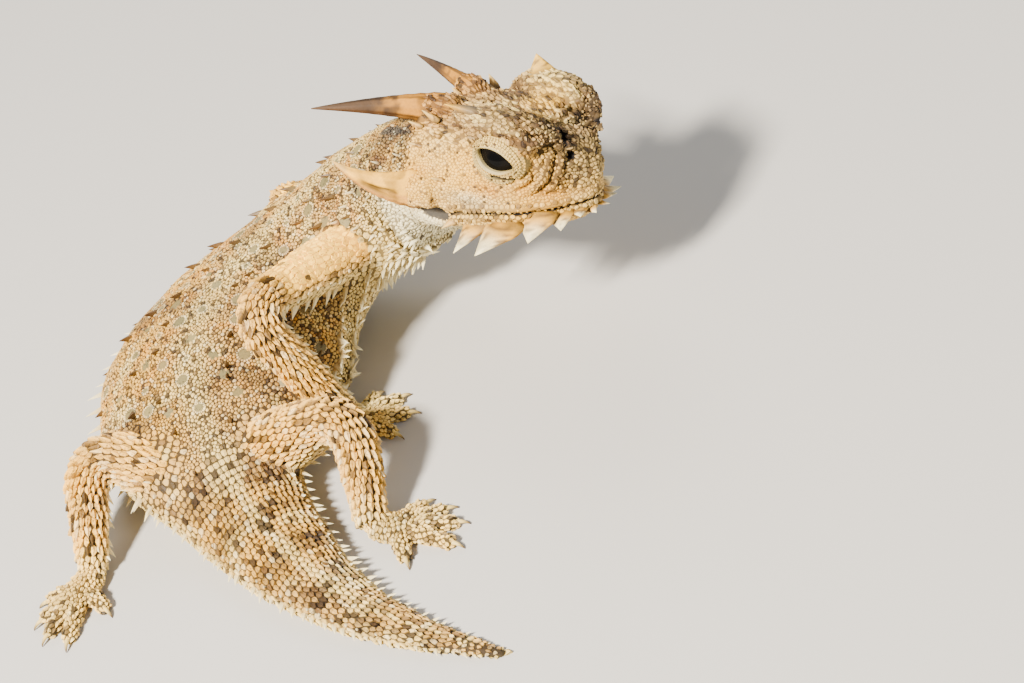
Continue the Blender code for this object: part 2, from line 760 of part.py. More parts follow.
def make_horn(name, keys, side, parts):
    path, radii = horn_line(keys, side)
    along = (path[1] - path[0]).normalized()
    path[0] = path[0] + along * (HORN_COLLAR + GAP)
    radii[0] *= 0.96
    kept = [i for i in range(len(path)) if i == 0 or (path[i] - path[0]).dot(along) > 0.4]
    rings = rings_along([path[i] for i in kept], [radii[i] for i in kept], HORN_SIDES)
    return loft(name, rings, parts)


def head_thorns(keys, side, group):
    pieces = []
    for root, way, length, width in keys:
        out = head_way(mirrored(way, side))
        pieces.append(thorn(on_head(mirrored(root, side)), out, length, width, head_way((1, 0, 0)), group))
    return pieces


def make_head(parts, tools):
    head = loft("head", [head_ring(x) for x in HEAD_RINGS], parts)
    added = []
    cut = []
    turn = head_matrix().to_3x3()
    for side in (1, -1):
        eye = on_head(mirrored(EYE_CENTRE, side))
        lid = EYE_RADIUS + GAP + LID_THICKNESS
        added.append(ball("lids", eye, (lid, lid, lid), tools, 14, 10))
        dome = on_head(mirrored(BROW_DOME, side))
        added.append(ball("brow_dome", dome, BROW_DOME_SIZE, tools, 12, 8, turn))
        for name, keys in (("brow", BROW), ("temple", TEMPLE), ("flange", JAW_FLANGE), ("lips", LIPS)):
            added.append(head_ridge(name, keys, side, tools))
        for keys in (OCCIPITAL_HORN, TEMPORAL_HORN):
            added.append(horn_collar(keys, side, tools))
        cut.append(ball("socket", eye, (EYE_RADIUS + GAP,) * 3, tools, 12, 8))
        cut.append(lid_opening(side, tools))
        cut.append(ball("nostril", on_head(mirrored(NOSTRIL, side)), (NOSTRIL_RADIUS,) * 3, tools, 8, 6))
        cut.append(ball("ear", on_head(mirrored(EAR, side)), EAR_SIZE, tools, 10, 6, turn))
    combine(head, added, "UNION")
    jaw = bpy.data.objects.new("lower_jaw", head.data.copy())
    parts.objects.link(jaw)
    combine(head, cut + [mouth_box(0.0, tools)], "DIFFERENCE")
    crown = []
    teeth = []
    for side, label in ((1, "L"), (-1, "R")):
        crown += head_thorns([BROW_THORN] + CROWN_THORNS, side, tools)
        teeth += head_thorns(JAW_THORNS, side, tools)
        ball("eye_" + label, on_head(mirrored(EYE_CENTRE, side)), (EYE_RADIUS,) * 3, parts, 14, 10)
        make_horn("horn_occipital_" + label, OCCIPITAL_HORN, side, parts)
        make_horn("horn_temporal_" + label, TEMPORAL_HORN, side, parts)
    combine(head, crown, "UNION")
    combine(jaw, teeth, "UNION")
    combine(jaw, [mouth_box(GAP, tools)], "INTERSECT")


# A hand or foot: a flat palm on the floor and five spread toes with claws
def make_paw(name, limb, start, end, plan, parts, tools):
    paw = loft(name, limb.rings(start, end), parts)
    heading = limb.toes_point
    ahead = Vector((math.cos(heading), math.sin(heading), 0))
    palm = Vector((limb.wrist.x, limb.wrist.y, PALM_HEIGHT)) + ahead * plan["palm_reach"]
    pieces = [ball("palm", palm, plan["palm"], tools, 10, 6, Matrix.Rotation(heading, 3, "Z"))]
    for degrees, length in zip(plan["angles"], plan["lengths"]):
        angle = heading - limb.side * math.radians(degrees)
        out = Vector((math.cos(angle), math.sin(angle), 0))
        reach = plan["palm"][1]
        path = [palm + out * along for along in (0.6, reach + length * 0.4, reach + length)]
        for place, height in zip(path, TOE_HEIGHTS):
            place.z = height
        tip = path[-1]
        pieces.append(loft("toe", rings_along(path, TOE_RADII, 6), tools))
        arch, point = Vector((0, 0, 0.1)), Vector((0, 0, -0.2))
        claw = [tip - out * 0.6, tip + out * 0.5 + arch, tip + out * 1.1 + point]
        pieces.append(loft("claw", rings_along(claw, CLAW_RADII, 4), tools))
    combine(paw, pieces, "UNION")
    combine(paw, [floor_block(tools)], "DIFFERENCE")


def limb_thorns(limb, start, end, draw, group):
    pieces = []
    for row, (angle, length, width) in enumerate(LIMB_THORNS):
        for place in spread(start + END_MARGIN + 0.5 * (row % 2), end - 2 * END_MARGIN, LIMB_THORN_SPACING):
            middle, skin = limb.place(place, angle)
            along = (limb.place(place + 0.5, angle)[0] - middle).normalized()
            out = ((skin - middle).normalized() + along * 0.6).normalized()
            size = length * draw.uniform(0.8, 1.15)
            tip = skin + out * size
            near_body = in_body(tip, 0.8) or in_body(skin, 1.2)
            kept = min(limb.inside_ends(tip, start, end), limb.inside_ends(skin, start, end) - width / 2)
            if tip.z > 0.4 and not near_body and kept > 0.2:
                pieces.append(thorn(skin, out, size, width, along, group, 4))
    return pieces


def make_limb(limb, parts, tools, trimmer):
    names = ("upper_arm", "forearm", "hand") if limb.is_arm else ("thigh", "shank", "foot")
    wrist = limb.length - WRIST_LENGTH
    draw = random.Random(SEED + limb.side + 5 * limb.is_arm)
    for name, start, end in zip(names, (0.0, limb.bend, wrist), (limb.bend, wrist, limb.length)):
        start += GAP / 2
        end -= GAP / 2
        label = name + "_" + limb.label
        if name == names[2]:
            make_paw(label, limb, start, end, HAND if limb.is_arm else FOOT, parts, tools)
            continue
        obj = loft(label, limb.rings(start, end), parts)
        copy = bpy.data.objects.new("trim", trimmer.data.copy())
        tools.objects.link(copy)
        combine(obj, [copy], "DIFFERENCE")
        combine(obj, limb_thorns(limb, start, end, draw, tools), "UNION")


def make_limbs(parts, tools):
    trimmer = body_trimmer(tools)
    for limb in ALL_LIMBS:
        make_limb(limb, parts, tools, trimmer)
    data = trimmer.data
    bpy.data.objects.remove(trimmer)
    bpy.data.meshes.remove(data)


def colour_of(name):
    if name.startswith("horn_occipital"):
        return COLOURS["horn"]
    if name.startswith("horn_temporal"):
        return COLOURS["temple_horn"]
    if name.startswith("eye"):
        return COLOURS["eye"]
    if name in ("head", "lower_jaw"):
        return COLOURS["head"]
    if name.startswith("tail"):
        return COLOURS["tail"]
    return COLOURS["back"] if name in BODY_NODES else COLOURS["leg"]


def paint(parts):
    for obj in parts.objects:
        roughness = 0.15 if obj.name.startswith("eye") else 0.75
        obj.data.materials.clear()
        obj.data.materials.append(new_material(obj.name, colour_of(obj.name), roughness))


def main():
    for obj in list(bpy.data.objects):
        bpy.data.objects.remove(obj)
    parts = bpy.data.collections.new("horned_lizard")
    tools = bpy.data.collections.new("cutters")
    bpy.context.scene.collection.children.link(parts)
    bpy.context.scene.collection.children.link(tools)
    for name in BODY_NODES:
        make_body_node(name, parts, tools)
    make_head(parts, tools)
    make_limbs(parts, tools)
    paint(parts)


main()
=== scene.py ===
import math

import bmesh
import bpy
import numpy as np
from mathutils import Matrix, Vector, kdtree
from mathutils.bvhtree import BVHTree


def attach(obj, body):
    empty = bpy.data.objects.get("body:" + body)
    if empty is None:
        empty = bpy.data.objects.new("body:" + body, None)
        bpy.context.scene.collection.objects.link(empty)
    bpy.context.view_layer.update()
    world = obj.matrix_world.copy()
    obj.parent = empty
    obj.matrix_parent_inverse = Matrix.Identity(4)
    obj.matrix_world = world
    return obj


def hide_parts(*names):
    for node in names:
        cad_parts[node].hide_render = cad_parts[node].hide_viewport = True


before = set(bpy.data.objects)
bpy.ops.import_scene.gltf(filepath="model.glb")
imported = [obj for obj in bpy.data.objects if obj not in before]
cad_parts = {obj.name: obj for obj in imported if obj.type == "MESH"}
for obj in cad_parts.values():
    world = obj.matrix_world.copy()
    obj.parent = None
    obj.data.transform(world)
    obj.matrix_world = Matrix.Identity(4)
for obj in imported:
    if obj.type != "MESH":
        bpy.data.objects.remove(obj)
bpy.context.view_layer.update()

mm = 0.001  # everything below is in millimetres and degrees until a mesh is made
rng = np.random.default_rng(7)

# the body, by stations along its spine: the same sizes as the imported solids
body = {
    "tailEnd": -62.0, "headStation": 42.0, "backPower": 1.8, "bellyPower": 3.0, "bellySink": 0.4,
    "halfWidth": [(-62, 0.7), (-54, 1.7), (-42, 3.3), (-32, 4.9), (-24, 6.2), (-18, 7.8), (-12, 10.8),
                  (-6, 13.6), (1, 15.2), (10, 13.8), (19, 11.0), (26, 9.3), (33, 8.0), (38, 7.5), (42, 7.7)],
    "backHeight": [(-62, 0.6), (-54, 1.1), (-42, 1.8), (-32, 2.6), (-24, 3.4), (-18, 4.4), (-12, 5.8),
                   (-6, 7.0), (1, 8.0), (10, 8.2), (19, 7.6), (26, 6.9), (33, 6.2), (42, 6.0)],
    "bellyDepth": [(-62, 0.6), (-54, 1.0), (-42, 1.5), (-32, 2.1), (-24, 2.7), (-18, 3.6), (-12, 4.8),
                   (-6, 5.6), (1, 6.2), (10, 6.0), (19, 5.4), (26, 5.2), (33, 5.0), (42, 5.0)],
    "throatSag": [(14, 0.0), (19, 0.3), (26, 1.4), (31, 3.3), (37, 4.3), (42, 3.0)],
    "bellyLift": [(-62, 0.0), (-2, 0.0), (10, 1.2), (20, 5.0), (28, 9.2), (35, 12.7), (42, 15.3)],
    "yaw": [(-62, 140), (-52, 133), (-40, 120), (-30, 111), (-19, 102), (-9, 86), (0, 62), (10, 33),
            (19, 9), (26, -11), (32, -31), (37, -44), (42, -46.5)],
    "pitch": [(-62, 0), (-10, 0), (10, 10), (24, 22), (34, 14), (42, -11.6)],
    "roll": [(-62, 0), (20, 0), (42, -17.2)],
}

# the head, measured ahead of its hinge with the neck, out to its left and up from mouth level
head = {
    "crownPower": 2.6, "throatPower": 2.4,
    "width": [(0, 8.0), (3, 8.7), (7, 8.5), (11, 7.7), (14, 6.3), (16.3, 4.7), (17.8, 3.2), (18.8, 1.8),
              (19.2, 1.0)],
    "crown": [(0, 6.9), (3, 7.7), (7, 8.3), (11, 8.4), (14, 8.2), (16.3, 7.5), (17.8, 6.2), (18.8, 4.2),
              (19.2, 2.6)],
    "throat": [(0, 7.2), (3, 6.7), (7, 5.5), (11, 4.5), (14, 3.8), (16.3, 3.0), (17.8, 2.4), (18.8, 1.6),
               (19.2, 0.9)],
    "gape": (6.0, -2.1), "mouthRise": 0.1853,
    "eye": (11.0, 4.9, 5.0), "eyeRadius": 2.8, "lidThickness": 0.55, "lidGap": 0.15,
    "lidOpening": (1.78, 1.1), "lidSlant": -13.0,
    "nostril": (17.5, 2.7, 5.5), "ear": (3.9, 8.6, -2.6), "earSize": (2.1, 1.15),
    "browDome": (10.7, 5.3, 7.2), "browDomeSize": (4.6, 2.8, 3.1),
    "ridges": [
        [((4.6, 5.4, 7.6), 0.6), ((6.6, 6.5, 8.8), 1.0), ((9.0, 6.9, 9.0), 1.1), ((12.0, 6.5, 8.9), 1.1),
         ((14.3, 5.2, 8.4), 1.0), ((16.2, 3.9, 8.0), 0.75), ((17.6, 2.9, 6.4), 0.5)],
        [((9.5, 6.8, 1.6), 0.8), ((6.0, 7.5, 1.0), 1.6), ((3.0, 8.0, 0.2), 1.9), ((1.2, 8.2, 0.0), 1.6)],
        [((4.0, 7.4, -2.8), 0.8), ((8.5, 7.3, -2.7), 1.1), ((12.5, 6.3, -2.1), 1.0),
         ((16.0, 4.2, -1.3), 0.8), ((17.8, 2.0, -0.8), 0.5)],
        [((5.0, 7.9, -2.1), 0.5), ((9.0, 7.9, -1.5), 0.7), ((13.0, 6.7, -0.8), 0.7),
         ((16.3, 4.4, -0.1), 0.65), ((17.7, 2.6, 0.1), 0.6), ((18.8, 0.9, 0.25), 0.5)],
    ],
    "occipital": ((0.6, 3.4, 6.9), (-5.2, 6.3, 6.9), (-11.0, 9.6, 6.1), 1.55),
    "temporal": ((1.6, 8.9, -0.1), (-2.9, 10.6, -0.6), (-6.8, 11.4, 1.7), 1.6),
}

limbPlan = {
    "armRoot": (26.5, 4.0, -1.5), "legRoot": (-14.5, 3.0, -0.3),
    "armRadius": [(0.0, 3.3), (0.25, 3.1), (0.45, 2.5), (0.6, 2.3), (0.8, 2.1), (1.0, 1.5)],
    "legRadius": [(0.0, 3.8), (0.25, 3.5), (0.45, 2.6), (0.6, 2.4), (0.8, 2.1), (1.0, 1.5)],
    "corner": 5.6, "wristHeight": 1.5, "palmHeight": 1.0,
    "hand": {"palm": (2.2, 1.9, 1.1), "reach": 1.0, "angles": (75, 38, 2, -34, -72),
             "lengths": (2.4, 3.2, 3.6, 3.4, 2.6)},
    "foot": {"palm": (3.2, 1.9, 1.1), "reach": 2.4, "angles": (62, 32, 8, -16, -58),
             "lengths": (2.4, 3.6, 4.8, 5.6, 3.0)},
    "toeHeights": (0.9, 0.75, 0.45), "toeRadii": (0.9, 0.9, 0.7),
    "limbs": [("arm", -1, (-14.4, -15.4, 6.4), (5.6, -1.0, -14.6), -20),
              ("arm", 1, (-12.4, 14.6, -3.6), (11.6, 6.0, -6.0), 40),
              ("leg", -1, (12.5, -6.0, 5.4), (-2.0, -10.0, -8.6), -30),
              ("leg", 1, (-10.5, 6.5, 5.6), (-3.0, -10.5, -8.4), 235)],
}

skinPlan = {"voxel": 0.4, "smooth": 3, "coatDepth": 0.2, "pawDepth": 0.06, "floorSkin": 0.08,
            "pawReach": 9.5}


def track(keys):  # a smooth curve through (place, value) pairs that never overshoots them
    places, values = np.array(keys, float).T
    steps = np.diff(places)
    slopes = np.diff(values) / steps
    turn = slopes[:-1] * slopes[1:]
    inner = np.where(turn > 0, 2 * turn / np.where(turn > 0, slopes[:-1] + slopes[1:], 1), 0)
    tangents = np.concatenate(([slopes[0]], inner, [slopes[-1]]))

    def value(place):
        place = np.clip(place, places[0], places[-1])
        i = np.clip(np.searchsorted(places, place, side="right") - 1, 0, len(steps) - 1)
        t = (place - places[i]) / steps[i]
        near = (1 + 2 * t) * (1 - t) ** 2 * values[i] + t * (1 - t) ** 2 * steps[i] * tangents[i]
        far = t * t * (3 - 2 * t) * values[i + 1] - t * t * (1 - t) * steps[i] * tangents[i + 1]
        return near + far

    return value


bodyTrack = {key: track(body[key]) for key in ("halfWidth", "backHeight", "bellyDepth", "throatSag",
                                               "bellyLift", "yaw", "pitch", "roll")}
headTrack = {key: track(head[key]) for key in ("width", "crown", "throat")}


def unit(vectors):
    return vectors / np.maximum(np.linalg.norm(vectors, axis=-1, keepdims=True), 1e-9)


def dot(a, b):
    return np.sum(a * b, axis=-1)


def ramp(value, low, high):  # 0 below low, 1 above high, smooth between
    t = np.clip((value - low) / (high - low), 0, 1)
    return t * t * (3 - 2 * t)


def bump(value, middle, width):
    return np.exp(-((value - middle) / width) ** 2)


def walkSpine():
    step = 0.25
    stations = np.arange(body["tailEnd"], body["headStation"] + step / 2, step)
    middles = (stations[:-1] + stations[1:]) / 2
    height = bodyTrack["bellyLift"](stations) + bodyTrack["bellyDepth"](stations) - body["bellySink"]
    heading = np.radians(bodyTrack["yaw"](middles))
    run = np.sqrt(step * step - np.diff(height) ** 2)
    x = np.concatenate(([0], np.cumsum(run * np.cos(heading))))
    y = np.concatenate(([0], np.cumsum(run * np.sin(heading))))
    origin = np.argmin(abs(stations))
    return stations, np.stack((x - x[origin], y - y[origin], height), axis=1)


spineStations, spinePlaces = walkSpine()


def spineAt(station):
    return np.stack([np.interp(station, spineStations, spinePlaces[:, k]) for k in range(3)], axis=-1)


def bodyAxes(station):  # ahead, left and up at each station
    yaw, pitch, roll = (np.radians(bodyTrack[key](station)) for key in ("yaw", "pitch", "roll"))
    ahead = np.stack((np.cos(pitch) * np.cos(yaw), np.cos(pitch) * np.sin(yaw), np.sin(pitch)), axis=-1)
    level = np.stack((-np.sin(yaw), np.cos(yaw), 0 * yaw), axis=-1)
    rise = np.cross(ahead, level)
    left = level * np.cos(roll)[..., None] + rise * np.sin(roll)[..., None]
    return ahead, left, np.cross(ahead, left)


def signedPower(value, power):
    return np.sign(value) * np.abs(value) ** power


def reachBelow(station):
    return bodyTrack["bellyDepth"](station) + bodyTrack["throatSag"](station)


def bodyPoint(station, angle):  # the angle turns from the left edge over the back
    station, angle = np.broadcast_arrays(np.asarray(station, float), np.asarray(angle, float))
    left, up = bodyAxes(station)[1:]
    rise = np.sin(angle)
    power = np.where(rise >= 0, 2 / body["backPower"], 2 / body["bellyPower"])
    reach = np.where(rise >= 0, bodyTrack["backHeight"](station), reachBelow(station))
    across = bodyTrack["halfWidth"](station) * signedPower(np.cos(angle), power)
    return spineAt(station) + left * across[..., None] + up * (reach * signedPower(rise, power))[..., None]


headOrigin = spineAt(np.array(body["headStation"]))
headAxes = np.array(bodyAxes(np.array(body["headStation"])))


def onHead(places):
    return headOrigin + np.asarray(places, float) @ headAxes


def headWay(ways):
    return unit(np.asarray(ways, float) @ headAxes)


def intoHead(points):
    return (points - headOrigin) @ headAxes.T


def folded(local):  # a head place with its left side laid over its right
    return local[:, 0], abs(local[:, 1]), local[:, 2]


def fromPlace(x, y, z, place):
    return np.sqrt((x - place[0]) ** 2 + (y - place[1]) ** 2 + (z - place[2]) ** 2)


def mirrored(place, side):
    return np.asarray(place, float) * (1, side, 1)


def bentLine(root, bend, tip, count):
    t = np.linspace(0, 1, count)[:, None]
    return np.asarray(root) * (1 - t) ** 2 + np.asarray(bend) * 2 * t * (1 - t) + np.asarray(tip) * t * t


def evenPath(path, spacing):
    lengths = np.concatenate(([0], np.cumsum(np.linalg.norm(np.diff(path, axis=0), axis=1))))
    count = max(2, int(round(lengths[-1] / spacing)) + 1)
    distances = np.linspace(0, lengths[-1], count)
    return np.stack([np.interp(distances, lengths, path[:, k]) for k in range(3)], axis=1), distances


def pathAxes(path, upright=(0, 0, 1)):  # along, side and over at each point, turned the same way all along
    ends = np.concatenate((path[:1], path, path[-1:]))
    along = unit(ends[2:] - ends[:-2])
    sides = [unit(np.cross(along[0], upright))]
    for way in along[1:]:
        sides.append(unit(sides[-1] - way * np.dot(sides[-1], way)))
    sides = np.array(sides)
    return along, sides, np.cross(sides, along)


def tubeRings(path, radii, sides):
    side, over = pathAxes(path)[1:]
    turn = np.linspace(0, 2 * np.pi, sides, endpoint=False)[None, :, None]
    ring = side[:, None] * np.cos(turn) + over[:, None] * np.sin(turn)
    return path[:, None] + ring * np.asarray(radii)[:, None, None]


class Limb:
    def __init__(self, kind, side, toElbow, toWrist, toes):
        isArm = kind == "arm"
        station, out, rise = limbPlan["armRoot" if isArm else "legRoot"]
        ahead, left, up = bodyAxes(np.array(station))
        root = spineAt(np.array(station)) + left * side * out + up * rise
        elbow = root + toElbow
        wrist = elbow + toWrist
        wrist[2] = limbPlan["wristHeight"]
        corner = limbPlan["corner"]
        bend = bentLine(elbow + unit(root - elbow) * corner, elbow, elbow + unit(wrist - elbow) * corner, 9)
        self.isArm, self.side, self.wrist = isArm, side, wrist
        self.path, self.distances = evenPath(np.concatenate((root[None], bend, wrist[None])), 0.5)
        self.share = self.distances / self.distances[-1]
        self.radii = track(limbPlan["armRadius" if isArm else "legRadius"])(self.share)
        self.axes = pathAxes(self.path)
        paw = limbPlan["hand" if isArm else "foot"]
        heading = math.radians(toes)
        self.turn = Matrix.Rotation(heading, 3, "Z")
        self.palm = np.array((wrist[0], wrist[1], limbPlan["palmHeight"]))
        self.palm[:2] += np.array((math.cos(heading), math.sin(heading))) * paw["reach"]
        self.palmSize = paw["palm"]
        self.toes = []
        for degrees, length in zip(paw["angles"], paw["lengths"]):
            angle = heading - side * math.radians(degrees)
            out = np.array((math.cos(angle), math.sin(angle), 0))
            reach = paw["palm"][1]
            toe = np.array([self.palm + out * d for d in (0.6, reach + length * 0.4, reach + length)])
            toe[:, 2] = limbPlan["toeHeights"]
            self.toes.append(toe)


limbs = [Limb(*plan) for plan in limbPlan["limbs"]]


# shapes from bmesh operators
def rolledGrid(shape, rings):  # a grid rolled up so that each of its rows is a ring
    rows, columns = rings.shape[:2]
    grid = bmesh.ops.create_grid(shape, x_segments=columns, y_segments=rows - 1, size=1)["verts"]
    wrapped = np.concatenate((rings, rings[:, :1]), axis=1).reshape(-1, 3) * mm
    for vert, place in zip(grid, wrapped):
        vert.co = place
    bmesh.ops.remove_doubles(shape, verts=grid, dist=1e-7)
    return grid


def addTube(shape, rings):  # a rolled grid with its ends closed
    grid = rolledGrid(shape, rings)
    rims = [edge for vert in grid if vert.is_valid for edge in vert.link_edges if edge.is_boundary]
    bmesh.ops.holes_fill(shape, edges=list(set(rims)), sides=0)


def addBall(shape, centre, size, turn=None, fine=20):
    matrix = Matrix.Translation(Vector(centre) * mm) @ (turn.to_4x4() if turn else Matrix.Identity(4))
    matrix = matrix @ Matrix.Diagonal((*(Vector(size) * mm), 1))
    bmesh.ops.create_uvsphere(shape, u_segments=fine, v_segments=fine // 2, radius=1, matrix=matrix)


def newObject(name, shape=None, mesh=None):
    if mesh is None:
        mesh = bpy.data.meshes.new(name)
        bmesh.ops.recalc_face_normals(shape, faces=shape.faces)
        shape.to_mesh(mesh)
        shape.free()
    obj = bpy.data.objects.new(name, mesh)
    bpy.context.scene.collection.objects.link(obj)
    return obj


def smoothShaded(obj):
    for face in obj.data.polygons:
        face.use_smooth = True
    return obj


def applied(obj):  # bakes an object's modifiers into its mesh
    mesh = bpy.data.meshes.new_from_object(obj.evaluated_get(bpy.context.evaluated_depsgraph_get()))
    obj.modifiers.clear()
    old, obj.data = obj.data, mesh
    bpy.data.meshes.remove(old)
    return obj


def meshArrays(mesh):  # vertex places in mm, normals and triangles
    places = np.empty(len(mesh.vertices) * 3)
    mesh.vertices.foreach_get("co", places)
    normals = np.empty(len(mesh.vertices) * 3)
    mesh.vertices.foreach_get("normal", normals)
    mesh.calc_loop_triangles()
    triangles = np.empty(len(mesh.loop_triangles) * 3, dtype=np.int64)
    mesh.loop_triangles.foreach_get("vertices", triangles)
    return places.reshape(-1, 3) / mm, normals.reshape(-1, 3), triangles.reshape(-1, 3)


def setPlaces(mesh, places):
    mesh.vertices.foreach_set("co", (places * mm).ravel())
    mesh.update()


headTurn = Matrix(headAxes.T.tolist())
print("spine, head axes and limbs placed")


# the skin: one surface over every part of flesh
def headRings(xs, columns):
    angle = np.linspace(0, 2 * np.pi, columns, endpoint=False)[None]
    x = np.asarray(xs, float)[:, None]
    rise = np.sin(angle)
    power = np.where(rise >= 0, 2 / head["crownPower"], 2 / head["throatPower"])
    reach = np.where(rise >= 0, headTrack["crown"](x), headTrack["throat"](x))
    across = headTrack["width"](x) * signedPower(np.cos(angle), power)
    return onHead(np.stack((x + 0 * angle, across, reach * signedPower(rise, power)), axis=-1))


def hornLine(keys, side, count):
    root, bend, tip, radius = keys
    path = bentLine(*(onHead(mirrored(place, side)) for place in (root, bend, tip)), count)
    return path, radius * (1 - np.linspace(0, 1, count)) ** 0.95 + 0.06


def coarseFlesh():
    shape = bmesh.new()
    stations = np.linspace(body["tailEnd"], body["headStation"] + 0.5, 130)
    angle = np.linspace(0, 2 * np.pi, 56, endpoint=False)
    addTube(shape, bodyPoint(stations[:, None], angle[None]))
    addTube(shape, headRings(np.concatenate((np.linspace(-0.6, 18.2, 30), (18.6, 18.9, 19.1, 19.2))), 56))
    for side in (1, -1):
        addBall(shape, eyeMiddle(side), (head["eyeRadius"] + head["lidThickness"] - 0.15,) * 3, fine=28)
        addBall(shape, onHead(mirrored(head["browDome"], side)), head["browDomeSize"], headTurn, 28)
        for ridge in head["ridges"]:
            places = onHead([mirrored(place, side) for place, radius in ridge])
            addTube(shape, tubeRings(places, [radius for place, radius in ridge], 12))
        for keys, flare in ((head["occipital"], 0.0), (head["temporal"], 0.35)):
            path, radii = hornLine(keys, side, 12)
            along = unit(path[1] - path[0])
            ends = path[0] + np.outer((-2.6, -0.6, 0.4, 1.3), along)
            addTube(shape, tubeRings(ends, radii[0] * np.array((1.1 + flare, 1.05 + flare, 1.0, 0.7)), 16))
    for limb in limbs:
        addTube(shape, tubeRings(limb.path, limb.radii, 20))
        addBall(shape, limb.palm, limb.palmSize, limb.turn)
        for toe in limb.toes:
            path, distances = evenPath(toe, 0.4)
            share = distances / distances[-1]
            knobs = 0.07 * np.sin(share * 5 * np.pi)
            addTube(shape, tubeRings(path, np.interp(share, (0, 0.5, 1), limbPlan["toeRadii"]) + knobs, 10))
    return newObject("skin", shape)


def remeshed(obj, voxel):
    remesh = obj.modifiers.new("remesh", "REMESH")
    remesh.mode = "VOXEL"
    remesh.voxel_size = voxel * mm
    remesh.use_smooth_shade = True
    return applied(obj)


def refineHead(obj):  # one finer level over the head, where the folds are small
    shape = bmesh.new()
    shape.from_mesh(obj.data)
    palms = [Vector(limb.palm * mm) for limb in limbs]
    away = skinPlan["pawReach"] * mm
    chosen = [vert for vert in shape.verts if min((vert.co - palm).length for palm in palms) > away]
    for turn in range(skinPlan["smooth"]):
        bmesh.ops.smooth_vert(shape, verts=chosen, factor=0.5, use_axis_x=True, use_axis_y=True,
                              use_axis_z=True)
    places = np.array([vert.co for vert in shape.verts]) / mm
    local = intoHead(places)
    chosen = (local[:, 0] > 0.3) & (abs(local[:, 1]) < 12) & (local[:, 2] > -9) & (local[:, 2] < 13)
    edges = [edge for edge in shape.edges if all(chosen[vert.index] for vert in edge.verts)]
    bmesh.ops.subdivide_edges(shape, edges=edges, cuts=1, use_grid_fill=True)
    bmesh.ops.triangulate(shape, faces=[face for face in shape.faces if len(face.verts) > 4])
    shape.to_mesh(obj.data)
    shape.free()
    obj.data.update()


# eyelids: a turret of folds round the opening, on each side
lidPlan = {"columns": 72, "rows": 26, "outer": (3.25, 2.8), "folds": 4, "foldHeight": 0.11, "rimDepth": 0.35,
           "crease": ((0.3, -1.75), (2.4, -1.45))}


def lidAxes(side):
    out = headWay((0.3, side * 4.0, 0.2))
    front = headWay((1, 0, 0))
    front = unit(front - out * np.dot(front, out))
    turn = Matrix.Rotation(side * math.radians(-head["lidSlant"]), 3, Vector(out))
    front = np.array(turn @ Vector(front))
    return out, front, np.cross(out, front)


def eyeMiddle(side):
    return onHead(mirrored(head["eye"], side))


def fromLids(side, places):  # how far out from the eye's middle, where across its lids and on which fold
    out, front, upper = lidAxes(side)
    offset = places - eyeMiddle(side)
    flat = np.stack((offset @ front, offset @ upper), axis=1)
    return offset @ out, flat, np.hypot(*(flat / lidPlan["outer"]).T)


def mouthHeight(x):
    x0, z0 = head["gape"]
    return z0 + head["mouthRise"] * (x - x0) + 0.18 * np.sin((x - x0) * 0.45)


def snoutView(x, y, z):  # how far ahead and how high a place of the head looks from in front and above
    return 0.85 * x - 0.56 * y, 0.932 * z - 0.237 * x - 0.332 * y


def earFold(x, z):  # 1 along the edge of the ear's recess
    return np.hypot((x - head["ear"][0]) / head["earSize"][0], (z - head["ear"][2]) / head["earSize"][1])


carve = {
    # each a height over the skin, or a depth below 0, and where there are more numbers its place and width
    "mouthLine": (-0.6, 0, 0.17), "upperLip": (0.14, 0.5, 0.3), "lowerLip": (0.12, -0.5, 0.3),
    "nostril": (-1.2, 0, 0.45), "nostrilRim": (0.25, 0.9, 0.3), "ear": -0.75, "earRim": (0.3, 1.35, 0.25),
    "parting": (-0.7, 0, 1.6), "pit": -1.0, "pitAt": (12.55, 1.95), "pitSize": (0.36, 1.0),
    "dimple": (-0.5, 0, 0.55), "dimpleAt": (16.2, 2.3, 6.9), "browRidge": (0.4, 8.5, 0.45),
    "browFold": (-0.4, 7.75, 0.35), "templeFold": (-0.3, 0, 0.5),
    # the least and the more that a wrinkle round the eye rises, and its width
    "wrinkle": (0.16, 0.3), "wrinkleWidth": 0.9, "snoutRelief": 0.5, "grain": 0.22, "eyeSocket": 2.3,
}


def fold(kind, value):
    height, place, width = carve[kind]
    return height * bump(value, place, width)


def pitDepth(x, y, z):  # a long pit above each nostril
    ahead, high = snoutView(x, y, z)
    high = high - carve["pitAt"][1]
    across = bump(ahead - carve["pitAt"][0] + 0.2 * high, 0, carve["pitSize"][0])
    return across * bump(high, 0, carve["pitSize"][1]) * ramp(x, 13.5, 14.5)


def nostrilAway(x, y, z):
    ahead, high = snoutView(x, y, z)
    nostrilAhead, nostrilHigh = snoutView(*head["nostril"])
    return np.hypot(ahead - nostrilAhead, high - nostrilHigh) + 9 * (x < 14)


